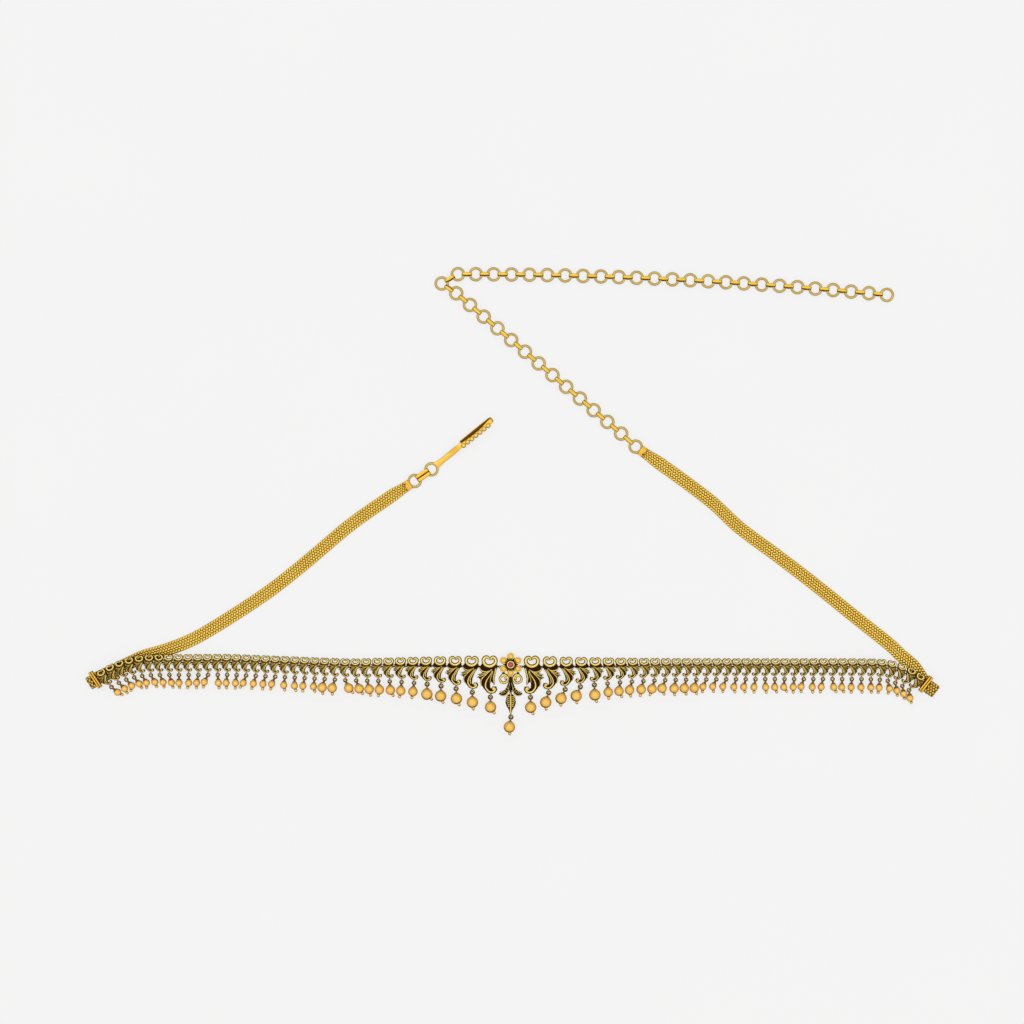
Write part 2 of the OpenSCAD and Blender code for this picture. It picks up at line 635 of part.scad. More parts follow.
drop_row(right);  // drop_row_right
end_bar(left);  // end_bar_left
end_bar(right);  // end_bar_right
band(left);  // mesh_band_left
band(right);  // mesh_band_right
end_cap(left);  // end_cap_left
end_cap(right);  // end_cap_right
hook_link();
hook();
chain_slant();
chain_run();
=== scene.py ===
"""Looks of the gold waist belt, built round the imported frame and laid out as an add-on."""

import math
from collections import namedtuple

import bpy
import numpy as np
from mathutils import Matrix, Vector


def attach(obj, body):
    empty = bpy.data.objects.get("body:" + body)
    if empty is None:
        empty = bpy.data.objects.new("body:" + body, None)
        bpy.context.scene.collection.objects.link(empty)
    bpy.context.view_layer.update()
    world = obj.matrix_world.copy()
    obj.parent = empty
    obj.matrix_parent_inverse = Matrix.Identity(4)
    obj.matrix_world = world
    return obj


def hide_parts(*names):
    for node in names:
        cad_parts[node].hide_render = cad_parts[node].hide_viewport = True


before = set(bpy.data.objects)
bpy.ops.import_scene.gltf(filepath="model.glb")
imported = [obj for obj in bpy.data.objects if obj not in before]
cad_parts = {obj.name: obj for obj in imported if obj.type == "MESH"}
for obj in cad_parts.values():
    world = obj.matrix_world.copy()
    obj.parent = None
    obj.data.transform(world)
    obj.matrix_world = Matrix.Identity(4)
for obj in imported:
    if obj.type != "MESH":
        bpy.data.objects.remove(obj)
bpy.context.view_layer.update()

bl_info = {
    "name": "Gold waist belt",
    "version": (1, 0, 0),
    "blender": (4, 5, 0),
    "location": "View3D > Sidebar > Belt",
    "description": "Cast scroll motifs, ball drops, woven bands, hook and adjusting chain",
    "category": "Add Mesh",
}

MM = 0.001
LEFT, RIGHT = -1, 1
SIDES = {LEFT: "left", RIGHT: "right"}

# The row, as the frame has it, with all lengths in mm
MOTIFS = 37
OWN_NODES = 6
LARGE_DROPS = 5
SMALLEST = 0.488
FLOWER = np.array([-0.75, -68.7])
HEART_RISE, LINK_DROP, LINK_Z = 1.35, 2.3, 0.85
BACK_H, RIB_H, HEART_H = 1.1, 1.5, 1.8
FIRST_STEP, FIRST_TAB, BAND_T, BAND_W = 8.8, 4.75, 1.2, 5.7
# The row's heading in degrees at distances along it
HEADINGS = {
    LEFT: np.array([[0, 0.3], [12, 1.2], [24, 0.4], [40, -0.8], [62, -1.2], [72, 2.3], [112, 2.4],
                    [122, 0], [147, 0], [154, -5], [162, -18], [168, -28], [172, -33]], float),
    RIGHT: np.array([[0, 0], [150, 0], [156, -5], [162, -17], [168, -30], [172, -38]], float),
}
# Each drop's swing and its tip's turn, in degrees
SWINGS = {
    LEFT: [[1, 31], [1, 7], [3, 23], [-2, 20], [-1, 42], [-7, -9], [-5, -11], [5, 28], [8, -8],
           [14, 15], [21, 37], [25, 44], [-17, 2], [-16, 7], [-8, 17], [-12, 0], [-2, 18], [-8, 13],
           [-26, -9], [-18, -2], [-17, -17], [-21, -34], [-8, 0], [-7, 6], [5, 11], [-28, -11],
           [-13, 0], [0, -13], [-1, 6], [13, 18], [22, 11], [28, 20], [30, 0], [36, 32], [40, -10],
           [43, 30], [48, 60]],
    RIGHT: [[1, 20], [-18, 1], [-26, -4], [-26, 3], [2, 13], [4, 5], [-8, 26], [-17, 9], [-16, -9],
            [-18, -19], [-23, 18], [-12, 3], [-14, 17], [-15, 22], [-26, -6], [-28, 9], [-26, 0],
            [-17, 12], [-16, 14], [-12, 0], [2, 8], [-2, 23], [-7, 36], [-8, 0], [-21, 0], [-9, 5],
            [-14, -10], [7, 28], [-4, 24], [-5, 1], [-4, 14], [0, 7], [-4, -11], [15, -15], [13, 8],
            [11, 12], [8, 20]],
}
CENTRE_SWING, CENTRE_TIP = -9, 2
# Where along each side the row climbs onto the folded band
LIFTS = {LEFT: (122, 143), RIGHT: (132, 161)}
# Drops up to a motif: the ball's radius, its distance from the ring, and the radii of ring, eye and wires
DropSize = namedtuple("DropSize", "last ball reach ring wire eye eye_wire")
DROP_SIZES = (DropSize(LARGE_DROPS, 2.4, 4.4, 0.85, 0.24, 0.55, 0.15),
              DropSize(14, 2.0, 3.7, 0.75, 0.2, 0.54, 0.12),
              DropSize(MOTIFS, 1.5, 3.4, 0.75, 0.2, 0.54, 0.12))
MIRROR = Matrix.Diagonal((-1, 1, 1, 1))


def shift(x, y, z=0.0):
    return Matrix.Translation((x, y, z))


def spin(degrees, axis="Z"):
    return Matrix.Rotation(math.radians(degrees), 4, axis)


def fade(t):
    """Smooth step from 0 to 1."""
    u = np.clip(t, 0, 1)
    return u * u * (3 - 2 * u)


def pitch(i):
    """Step from a motif to the next one, which falls off along the row."""
    return 4.01 + 3.57 * math.exp(-(i - 1) / 4.6)


def size(i):
    return SMALLEST + (1 - SMALLEST) * math.exp(-(i - 1) / 3.7)


def tall(i):
    """Below the heart the small motifs are shorter for their width."""
    return size(i) * (1 - 0.16 * (1 - size(i)))


def rubbed(i):
    """From 0 at the third motif to 1 at the ninth: how much more is rubbed bright on the small ones."""
    return fade((i - 3) / 6)


def lift(side, d):
    """Height of the row's underside: a first slight rise, then up onto the folded band."""
    low, high = LIFTS[side]
    return (BAND_T + 0.2) * fade((d - low) / (high - low)) + 0.04 * fade((d - low + 12) / 12)


def slope(side, d):
    return math.atan((lift(side, d + 1) - lift(side, d - 1)) / 2)


def stations(side):
    """Each motif's link point: a walk along the row whose steps turn with the heading."""
    table = HEADINGS[side]
    look = lambda d: float(np.interp(d, table[:, 0], table[:, 1]))
    rows, d, p = [], 0.0, np.zeros(2)
    for i in range(MOTIFS + 2):
        rows.append((p[0], p[1], look(d), d))
        s = FIRST_STEP if i == 0 else pitch(i)
        p, d = p + s * unit_at((look(d) + look(d + s)) / 2), d + s
    return rows


def unit_at(degrees):
    return np.array([math.cos(math.radians(degrees)), math.sin(math.radians(degrees))])


ROWS = {side: stations(side) for side in SIDES}


def station_matrix(side, i):
    """Frame of a motif in mm: outward is -X as the motif is drawn, mirrored on the right side."""
    x, y, heading, d = ROWS[side][i]
    m = shift(FLOWER[0] + side * x, FLOWER[1] + HEART_RISE - LINK_DROP + y, float(lift(side, d)) + LINK_Z)
    m = m @ spin(side * heading)
    if side == RIGHT:
        m = m @ MIRROR
    return m @ Matrix.Rotation(slope(side, d), 4, "Y") @ shift(0, LINK_DROP, -LINK_Z)


def tab_x(i):
    return FIRST_TAB if i == 0 else 1.75 + 3.2 * (size(i) - SMALLEST)


def link_r(i):
    return 0.57 + 0.14 * (size(i) - SMALLEST)


def ring_x(i):
    return (FIRST_STEP if i == 1 else pitch(i - 1)) - tab_x(i - 1) - 2 * link_r(i)


def drop_size(i):
    return next(row for row in DROP_SIZES if i <= row.last)


def jump_at(i):
    """Middle of a drop's jump ring below its motif, or below the flower for 0."""
    return (0.1, -22.1) if i == 0 else (0.5 * size(i), -13.9 * tall(i) - 1.25)


# Surfaces as whole arrays
class Skin:
    """A closed surface: points in mm, quads, triangles, flat many-sided faces, and how bright its
    metal is at each point, from 0 in a dark recess to 1 on a rubbed crown. This brightness holds the
    patina in the recesses and also painted shade, on undersides, sides, rims and the balls' waists."""

    def __init__(self, points, quads, tris, shade, flats=()):
        self.points = np.asarray(points, float).reshape(-1, 3)
        self.quads = np.asarray(quads, int).reshape(-1, 4)
        self.tris = np.asarray(tris, int).reshape(-1, 3)
        self.shade = np.broadcast_to(np.asarray(shade, float).ravel(), (len(self.points),))
        self.flats = [np.asarray(f, int) for f in flats]

    def volume(self):
        """Six times the sum of the signed volumes from the origin to each triangle."""
        q = self.quads
        fans = [np.stack([np.full(len(f) - 2, f[0]), f[1:-1], f[2:]], -1) for f in self.flats]
        tris = np.concatenate([self.tris, q[:, [0, 1, 2]], q[:, [0, 2, 3]], *fans])
        a, b, c = (self.points[tris[:, k]] for k in range(3))
        return float(np.einsum("ij,ij->", a, np.cross(b, c)))

    def outward(self):
        if self.volume() < 0:
            self.quads, self.tris = self.quads[:, ::-1], self.tris[:, ::-1]
            self.flats = [f[::-1] for f in self.flats]
        return self

    def like(self, points, shade):
        """The same faces on other points, or with other brightness."""
        return Skin(points, self.quads, self.tris, shade, self.flats)

    def moved(self, matrix):
        m = np.array(matrix)
        return self.like(self.points @ m[:3, :3].T + m[:3, 3], self.shade).outward()

    def at(self, x, y, z=0.0):
        return self.moved(shift(x, y, z))

    def scaled(self, x, y, z):
        return self.like(self.points * [x, y, z], self.shade)

    def dimmed(self, share):
        return self.like(self.points, self.shade * share)


def joined(skins):
    offsets = np.cumsum([0] + [len(s.points) for s in skins])
    pairs = list(zip(skins, offsets))
    return Skin(
        np.concatenate([s.points for s in skins]),
        np.concatenate([s.quads + o for s, o in pairs]),
        np.concatenate([s.tris + o for s, o in pairs]),
        np.concatenate([s.shade for s in skins]),
        [f + o for s, o in pairs for f in s.flats],
    )


def grid_faces(rows, cols, loop_rows):
    """Quads of a grid whose columns close on themselves."""
    r = np.arange(rows if loop_rows else rows - 1)[:, None]
    c = np.arange(cols)[None, :]
    r2, c2 = (r + 1) % rows, (c + 1) % cols
    corners = np.broadcast_arrays(r * cols + c, r * cols + c2, r2 * cols + c2, r2 * cols + c)
    return np.stack(corners, -1).reshape(-1, 4)


def wrapped(grid, shade, loop_rows=False):
    """Closed skin of a grid of points (rows, cols, 3) whose columns go round. Open rows end in a fan
    to their own middle."""
    rows, cols = grid.shape[:2]
    quads = grid_faces(rows, cols, loop_rows)
    points = grid.reshape(-1, 3)
    shade = np.broadcast_to(np.asarray(shade, float), (rows, cols)).reshape(-1)
    if loop_rows:
        return Skin(points, quads, (), shade).outward()
    c = np.arange(cols)
    n, last = rows * cols, (rows - 1) * cols
    first_fan = np.stack([c, np.full(cols, n), (c + 1) % cols], -1)
    last_fan = np.stack([last + c, last + (c + 1) % cols, np.full(cols, n + 1)], -1)
    middles = [grid[0].mean(0), grid[-1].mean(0)]
    shades = [shade[:cols].mean(), shade[last:].mean()]
    return Skin(np.vstack([points, middles]), quads, np.vstack([first_fan, last_fan]),
                np.concatenate([shade, shades])).outward()


def smooth_line(rows, steps):
    """Catmull-Rom curve through the rows, all their columns alike, with steps points a stretch."""
    p = np.asarray(rows, float)
    q = np.vstack([2 * p[0] - p[1], p, 2 * p[-1] - p[-2]])
    t = (np.arange(steps) / steps)[None, :, None]
    a, b, c, d = (q[k: len(q) - 3 + k][:, None] for k in range(4))
    curve = 0.5 * (2 * b + (c - a) * t + (2 * a - 5 * b + 4 * c - d) * t ** 2
                   + (3 * b - a - 3 * c + d) * t ** 3)
    return np.vstack([curve.reshape(-1, p.shape[1]), p[-1]])


def unit(v):
    return v / np.maximum(np.linalg.norm(v, axis=-1, keepdims=True), 1e-9)


def headings_of(line, loop=False):
    """Unit direction of a path, open or closed, at each of its points."""
    return unit(np.roll(line, -1, 0) - np.roll(line, 1, 0) if loop else np.gradient(line, axis=0))


def left_of(way):
    """The direction turned a quarter to the left in the plane."""
    return np.stack([-way[..., 1], way[..., 0]], -1)


def arc(degrees):
    """Cosine and sine of each angle, as rows."""
    a = np.radians(degrees)
    return np.stack([np.cos(a), np.sin(a)], -1)


def circle(steps):
    return arc(np.arange(steps) * 360 / steps)


def rounded_ends(line):
    """The path with two more rows at each end, where it narrows on a quarter circle."""
    first, last = headings_of(line[:, :2])[[0, -1]]
    end = lambda row, way: [np.r_[row[:2] + reach * row[2] / 2 * way, row[2] * share]
                            for reach, share in ((0.95, 0.32), (0.55, 0.83))]
    return np.vstack([*end(line[0], -first), line, *end(line[-1], last)[::-1]])


def mirrored(half):
    """Rows and their mirror images in the opposite order."""
    return half + [[-row[0], *row[1:]] for row in half[::-1]]


# Half-round rib: columns across as a share of half the width, height share, brightness
RIB = np.array(mirrored([[-1, 0, 0], [-1, 0.4, 0.1], [-0.8, 0.75, 0.26], [-0.5, 0.94, 0.52],
                         [-0.15, 1, 1]]))


def rib(path, low, high, steps=3, dim=1.0):
    """Relief rib: at each point of the path the half-round profile stands across it, as wide as the
    path's third column, from the low to the high level. It is lower where it is narrower."""
    line = rounded_ends(smooth_line(path, steps))
    across = left_of(headings_of(line[:, :2]))
    half = np.maximum(line[:, 2:3], 0.05) / 2
    grid = np.empty((len(line), len(RIB), 3))
    grid[..., :2] = line[:, None, :2] + (half * RIB[:, 0])[..., None] * across[:, None]
    squat = np.minimum(1, 0.45 + 0.55 * half / np.median(half))
    grid[..., 2] = low + (high - low) * RIB[:, 1] * squat
    return wrapped(grid, RIB[:, 2] * dim)


def straight_rib(x, y, length, width, low, high, dim=1.0):
    return rib([[x, y + share * length, width] for share in (-0.5, 0, 0.5)], low, high, dim=dim)


def wire(line, radius, sides, shade=1.0, painted_shade_under=0.25):
    """Round wire along a flat closed path: centre + r (cos a, sin a) in the plane across the path. Its
    underside and sides are painted darker, as painted shade."""
    up = np.array([0.0, 0.0, 1.0])
    across = np.cross(headings_of(line, True), up)
    a = circle(sides)
    grid = line[:, None] + radius * (a[:, :1] * across[:, None] + a[:, 1:] * up)
    tone = painted_shade_under + (1 - painted_shade_under) * np.clip(0.2 + 1.1 * a[:, 1], 0, 1)
    return wrapped(grid, shade * tone, True)


def ring(radius, wire_r, steps, sides, shade, painted_shade_under=0.25):
    """Torus lying down: (R + r cos b) in the plane and r sin b up."""
    return wire(np.c_[radius * circle(steps), np.zeros(steps)], wire_r, sides, shade, painted_shade_under)


def turned(profile, steps=24):
    """Turned form about Z: the profile's rows are radius, height, brightness."""
    profile = np.asarray(profile, float)
    r = np.maximum(profile[:, 0], 1e-3)[:, None, None]
    z = np.broadcast_to(profile[:, 1, None, None], (len(profile), steps, 1))
    return wrapped(np.concatenate([r * circle(steps), z], -1), profile[:, 2:])


def plate(outline, low, high, bevel, shade_top, shade_side):
    """Flat plate of any outline: loops of it on three levels, the topmost drawn in by the bevel, and a
    flat face above and below."""
    p = np.asarray(outline, float)
    area = np.sum(p[:, 0] * np.roll(p[:, 1], -1) - np.roll(p[:, 0], -1) * p[:, 1])
    inward = left_of(headings_of(p, True)) * np.sign(area)
    levels = [(0, low, 0.6 * shade_side), (0, high - bevel, shade_side), (bevel, high, shade_top)]
    n = len(p)
    grid = np.stack([np.c_[p + inward * b, np.full(n, z)] for b, z, _ in levels])
    shade = np.repeat([tone for _, _, tone in levels], n)
    flats = [np.arange(n)[::-1], 2 * n + np.arange(n)]
    return Skin(grid.reshape(-1, 3), grid_faces(3, n, False), (), shade, flats).outward()


def tile(width, length, low, high, bevel, shade_top, shade_side):
    """Block with its top and corners drawn in: a rectangle with cut corners as a plate."""
    x, y, c = width / 2, length / 2, bevel
    corners = mirrored([[x, c - y], [x, y - c], [x - c, y]]) + [[c - x, -y], [x - c, -y]]
    return plate(corners, low, high, bevel, shade_top, shade_side)


def put(name, data):
    """A new object of the scene."""
    made = bpy.data.objects.new(name, data)
    bpy.context.scene.collection.objects.link(made)
    return made


def make_piece(name, skin, finish, node, sharp=50):
    """Puts a skin into a mesh as whole arrays, gives it its finish and ties it to the frame."""
    mesh = bpy.data.meshes.new(name)
    sizes = np.concatenate([np.full(len(skin.quads), 4), np.full(len(skin.tris), 3),
                            [len(f) for f in skin.flats]]).astype(np.int32)
    corners = np.concatenate([skin.quads.ravel(), skin.tris.ravel(), *skin.flats]).astype(np.int32)
    mesh.vertices.add(len(skin.points))
    mesh.vertices.foreach_set("co", (skin.points * MM).astype(np.float32).ravel())
    mesh.loops.add(len(corners))
    mesh.loops.foreach_set("vertex_index", corners)
    mesh.polygons.add(len(sizes))
    mesh.polygons.foreach_set("loop_start", np.r_[0, np.cumsum(sizes)[:-1]].astype(np.int32))
    mesh.polygons.foreach_set("use_smooth", np.ones(len(sizes), bool))
    mesh.update(calc_edges=True)
    mesh.validate()
    # The brightness attribute carries the patina and the painted shade into the material.
    bright = mesh.attributes.new("bright", "FLOAT", "POINT")
    bright.data.foreach_set("value", skin.shade.astype(np.float32))
    mesh.set_sharp_from_angle(angle=math.radians(sharp))
    mesh.materials.append(finish_of(finish))
    piece = put(name, mesh)
    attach(piece, "root")
    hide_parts(node)


# Materials
def hex_colour(text):
    """sRGB hex to linear red, green, blue and alpha."""
    c = np.array([int(text[k: k + 2], 16) for k in (1, 3, 5)]) / 255
    linear = np.where(c <= 0.04045, c / 12.92, ((c + 0.055) / 1.055) ** 2.4)
    return (*linear.tolist(), 1.0)


def add_node(material, kind, settings=None, **sockets):
    """One shader node with its settings, and its sockets set to a value or linked from another node."""
    node = material.node_tree.nodes.new(kind)
    for key, value in (settings or {}).items():
        setattr(node, key, value)
    for key, value in sockets.items():
        socket = node.inputs[int(key[1:])] if key[1:].isdigit() else node.inputs[key.replace("_", " ")]
        if isinstance(value, bpy.types.NodeSocket):
            material.node_tree.links.new(value, socket)
        else:
            socket.default_value = value
    return node


def new_shading(kind, name):
    """Material or world without nodes."""
    made = kind.new(name)
    made.use_nodes = True
    made.node_tree.nodes.clear()
    return made


def colour_mix(material, share, first, second):
    return add_node(material, "ShaderNodeMix", {"data_type": "RGBA"}, i0=share, i6=first,
                    i7=second).outputs[2]


def noise(material, cloud_mm, **sockets):
    """Noise whose clouds have a real size, in the object's own coordinates."""
    place = add_node(material, "ShaderNodeTexCoord").outputs["Object"]
    return add_node(material, "ShaderNodeTexNoise", Vector=place, Scale=1 / (cloud_mm * MM),
                    **sockets).outputs["Fac"]


def clouded(material, cloud_mm, first, second):
    """Two colours that pass into each other in soft clouds."""
    share = noise(material, cloud_mm, Detail=2.0)
    return colour_mix(material, share, hex_colour(first), hex_colour(second))


def finished(material, **sockets):
    """The material with a principled surface whose sockets are set."""
    shader = add_node(material, "ShaderNodeBsdfPrincipled", **sockets)
    add_node(material, "ShaderNodeOutputMaterial", Surface=shader.outputs["BSDF"])
    return material


# Size in mm of the clouds in the gold, the stone and the board, and how brightly the board glows
GOLD_CLOUD, STONE_CLOUD, BOARD_CLOUD, BOARD_GLOW = 9, 0.8, 1000 / 12, 0.735
# Share of the grain in the gold's wear, and its tint at grazing angles
GRAIN_SHARE, EDGE_TINT = 0.3, "#c9a24c"


def gold(name, bright, dark, rough_low, rough_high, grain_mm, grain_depth, contrast=(0.15, 0.75)):
    """Gold alloy whose recesses are blackened: the point's brightness, which holds the patina and also
    painted shade, mixes the dark and bright colours, grain of a real size breaks up the shine, and the
    recesses are rougher."""
    m = new_shading(bpy.data.materials, name)
    tone = add_node(m, "ShaderNodeAttribute", {"attribute_name": "bright"}).outputs["Fac"]
    grain = noise(m, grain_mm, Detail=3.0, Roughness=0.6)
    tone_level = add_node(m, "ShaderNodeMath", {"operation": "MULTIPLY_ADD"}, i0=grain, i1=GRAIN_SHARE, i2=tone)
    low, high = (limit + GRAIN_SHARE / 2 for limit in contrast)
    share = add_node(m, "ShaderNodeMapRange", {"interpolation_type": "SMOOTHSTEP"}, Value=tone_level.outputs[0],
                     From_Min=low, From_Max=high).outputs[0]
    rough = add_node(m, "ShaderNodeMapRange", Value=share, To_Min=rough_high, To_Max=rough_low)
    bump = add_node(m, "ShaderNodeBump", Strength=0.35, Distance=grain_depth * MM, Height=grain)
    colour = colour_mix(m, share, hex_colour(dark), clouded(m, GOLD_CLOUD, *bright))
    return finished(m, Base_Color=colour, Roughness=rough.outputs[0], Normal=bump.outputs[0], Metallic=1.0,
                    Specular_Tint=hex_colour(EDGE_TINT))


# Each gold's material name, two bright colours, dark colour, roughness of crowns and of recesses, size
# and depth of its grain in mm, and for one the brightness between which it goes from dark to bright
GOLDS = {
    # Yellow gold cast in a mould, its crowns rubbed bright and its recesses left black with patina; its
    # dark colour also paints shade, under round wires and at the waists of the hook's beads
    "cast_gold": ("cast_gold_with_patina", ("#f0d77e", "#e6c762"), "#382002", 0.3, 0.6, 0.35, 0.02),
    # The flower's domed petals: the same cast gold, hand polished, with an orange glow
    "petal_gold": ("polished_petal_gold", ("#f8c860", "#eeb24a"), "#3a1a02", 0.35, 0.6, 0.4, 0.02),
    # Hollow balls of redder gold, planished and polished, so the eye sees a soft peach shine; their dark
    # colour is mostly painted shade, at each ball's waist, on the neck and cap, and in the ring's web
    "ball_gold": ("polished_drop_gold", ("#fbd376", "#f7c867"), "#4a3002", 0.6, 0.6, 0.6, 0.03),
    # Fine gold wire woven into loops: bright on each loop's back, olive brown between them, which is
    # partly patina and partly painted shade
    "woven_gold": ("woven_gold_wire", ("#f8d468", "#e8bc50"), "#644606", 0.3, 0.6, 0.25, 0.01,
                   (0.08, 0.62)),
    # Drawn gold wire bent into rings: greenish yellow, smooth, with faint drawing marks
    "chain_gold": ("drawn_gold_wire", ("#cfb762", "#c19d4c"), "#664a08", 0.35, 0.5, 0.5, 0.01),
    # Rolled gold strip that ties the rings: deeper yellow, its underside and edges painted brown as shade
    "strip_gold": ("rolled_gold_strip", ("#ecc748", "#e2b43a"), "#623404", 0.35, 0.5, 0.4, 0.01),
    # Rolled and filed gold of the hook, bars and caps: the deepest yellow, with a satin grain
    "fitting_gold": ("filed_gold", ("#efc04c", "#e9b442"), "#6a3a06", 0.32, 0.5, 0.4, 0.02),
}


def pink_glass():
    """Faceted pink paste stone: the eye sees deep pink with one white glint."""
    m = new_shading(bpy.data.materials, "pink_paste_stone")
    return finished(m, Base_Color=clouded(m, STONE_CLOUD, "#d9358f", "#a81a66"), Roughness=0.06,
                    IOR=1.6, Coat_Weight=0.5, Transmission_Weight=0.25)


def white_board():
    """Opal light table under the belt: it glows evenly, so the belt hardly throws a shadow on it."""
    m = new_shading(bpy.data.materials, "opal_light_table")
    return finished(m, Base_Color=clouded(m, BOARD_CLOUD, "#6e6e6f", "#727272"), Roughness=0.9,
                    Specular_IOR_Level=0.0, Emission_Color=hex_colour("#ffffff"),
                    Emission_Strength=BOARD_GLOW)


# Room from straight below to overhead: share of the way up and grey
ROOM_LEVELS = ((0.0, "#9c9788"), (0.48, "#b0ab9e"), (0.56, "#c8c6c0"), (0.8, "#ebebe8"), (1.0, "#fdfdfd"))


def studio_room(strength):
    """Room by height alone: how bright it is from straight below, past the horizon, to overhead."""
    world = new_shading(bpy.data.worlds, "studio_room")
    way = add_node(world, "ShaderNodeTexCoord").outputs["Generated"]
    height = add_node(world, "ShaderNodeSeparateXYZ", Vector=way).outputs["Z"]
    share = add_node(world, "ShaderNodeMapRange", Value=height, From_Min=-1.0, From_Max=1.0)
    ramp = add_node(world, "ShaderNodeValToRGB", Fac=share.outputs[0])
    stops = ramp.color_ramp.elements
    while len(stops) < len(ROOM_LEVELS):
        stops.new(0.5)
    for stop, (place, text) in zip(stops, ROOM_LEVELS):
        stop.position, stop.color = place, hex_colour(text)
    light = add_node(world, "ShaderNodeBackground", Color=ramp.outputs["Color"], Strength=strength)
    add_node(world, "ShaderNodeOutputWorld", Surface=light.outputs[0])
    return world


def finish_of(name):
    """The material of a finish, which is made when the first piece asks for it."""
    made = {m.get("slot"): m for m in bpy.data.materials if m.get("slot")}
    if name not in made:
        made[name] = pink_glass() if name == "pink_stone" else gold(*GOLDS[name])
        made[name]["slot"] = name
    return made[name]


# Scroll motifs, drawn at the first motif's size: paths of point and width, and outlines of dark backs
HEART = [[-0.2, 0.75, 0.9], [-0.65, 1.45, 1.4], [-1.65, 1.65, 1.75], [-2.55, 0.85, 1.9],
         [-2.6, -0.4, 1.9], [-1.85, -1.6, 1.9], [-0.2, -2.2, 1.95], [1.25, -1.8, 1.9], [2.3, -0.75, 1.9],
         [2.5, 0.5, 1.85], [1.8, 1.5, 1.75], [0.85, 1.6, 1.4], [0.35, 1.0, 1.1]]
BOWL_RIM = [[-4.2, -2.8, 0.55], [-3.9, -3.6, 0.65], [-3.1, -4.2, 0.7], [-2, -4.55, 0.7], [-0.9, -4.5, 0.7],
            [0, -4.1, 0.65], [0.7, -3.6, 0.55]]
FINGERS = [[[-1.0, -4.9, 0.55], [-2.8, -5.35, 0.6], [-4.9, -5.8, 0.3]],
           [[-1.3, -5.4, 0.55], [-3.2, -6.15, 0.7], [-5.1, -6.95, 0.35]],
           [[-1.7, -6.0, 0.5], [-2.7, -6.8, 0.6], [-3.8, -7.55, 0.3]]]
OUTER_RIB = [[0.9, -3.5, 0.5], [0, -4.2, 0.55], [-1, -5.2, 0.55], [-2, -6.2, 0.55], [-3, -7.3, 0.6],
             [-3.5, -8.2, 0.6], [-3.6, -9.2, 0.55], [-3.3, -10.4, 0.45]]
MIDDLE_RIB = [[1.1, -4.1, 0.55], [0.6, -5.3, 0.6], [-0.7, -7.3, 0.7], [-1.3, -8.4, 0.8],
              [-1.65, -9.8, 0.95], [-1.6, -10.8, 1.0], [-1.0, -11.9, 1.05], [-0.2, -12.7, 1.1],
              [0.7, -13.0, 1.1], [1.7, -12.8, 1.1], [2.4, -12.1, 1.05], [2.3, -11.3, 0.9],
              [1.6, -10.9, 0.8]]
INNER_RIB = [[1.4, -4.2, 0.6], [0.9, -6, 0.6], [0.4, -7.5, 0.6], [0.25, -8.9, 0.5]]
BROAD_RIB = [[1.9, -4.3, 1.0], [1, -5.5, 1.1], [0.2, -7, 1.1], [-0.5, -8.5, 1.1], [-0.6, -10, 1.0],
             [-0.2, -11, 0.8]]
OUTER_STRAND = [[2.6, -3.0, 0.8], [2.3, -4.4, 0.9], [2, -5.5, 0.9], [1.7, -6.6, 0.85], [1.7, -7.6, 0.8],
                [1.9, -8.6, 0.8], [1.95, -9.6, 0.7]]
BACK = [[-3.3, -1.2], [-4, -2.2], [-4.2, -3.4], [-3.6, -4.5], [-2.9, -4.9], [-4.8, -5.7], [-4.2, -6.1],
        [-5.1, -7.0], [-4.2, -7.4], [-3.7, -8.1], [-3.7, -9.4], [-2.6, -11.2], [-1, -13.2], [0.9, -13.8],
        [2.6, -13.2], [3.3, -12], [2.9, -10.6], [1.9, -10.7], [1.2, -11.6], [0.4, -11.2], [0.3, -9.8],
        [0.6, -8.2], [1.6, -5.6], [2.6, -4.1], [3.2, -3], [3.3, -1.4], [1.6, -2.1], [-1.4, -2.2]]
# Dark web between the first motif's inner rib and its outer strand
STRAND_BACK = [[2.9, -2.9], [2.6, -4.8], [2.1, -7.4], [2.3, -9.4], [1.5, -9.4], [1.0, -8.9], [0.4, -8.5],
               [0.9, -6.4], [1.8, -4.2]]
PLUME_FOOT, STEM_SINK, STEM_W, STEM_HALF = -13.6, 0.3, 0.6, 0.25


def motif_heart(i):
    """Open heart of cast ribbon whose right arm ends in a knob; the large hearts' ribbon is slimmer."""
    ribbon = np.array(HEART) * [1, 1, 0.84 + 0.16 * fade((i - 1) / 6)]
    knob = [[0.05, 0.3, 0.2], [0.6, 0.5, 0.2], [0.68, 1.3, 0.8], [0.35, 1.75, 1], [0.05, 1.82, 1]]
    return joined([rib(ribbon, 0.25, HEART_H), turned(knob, 10).at(0.6, 0.95)])


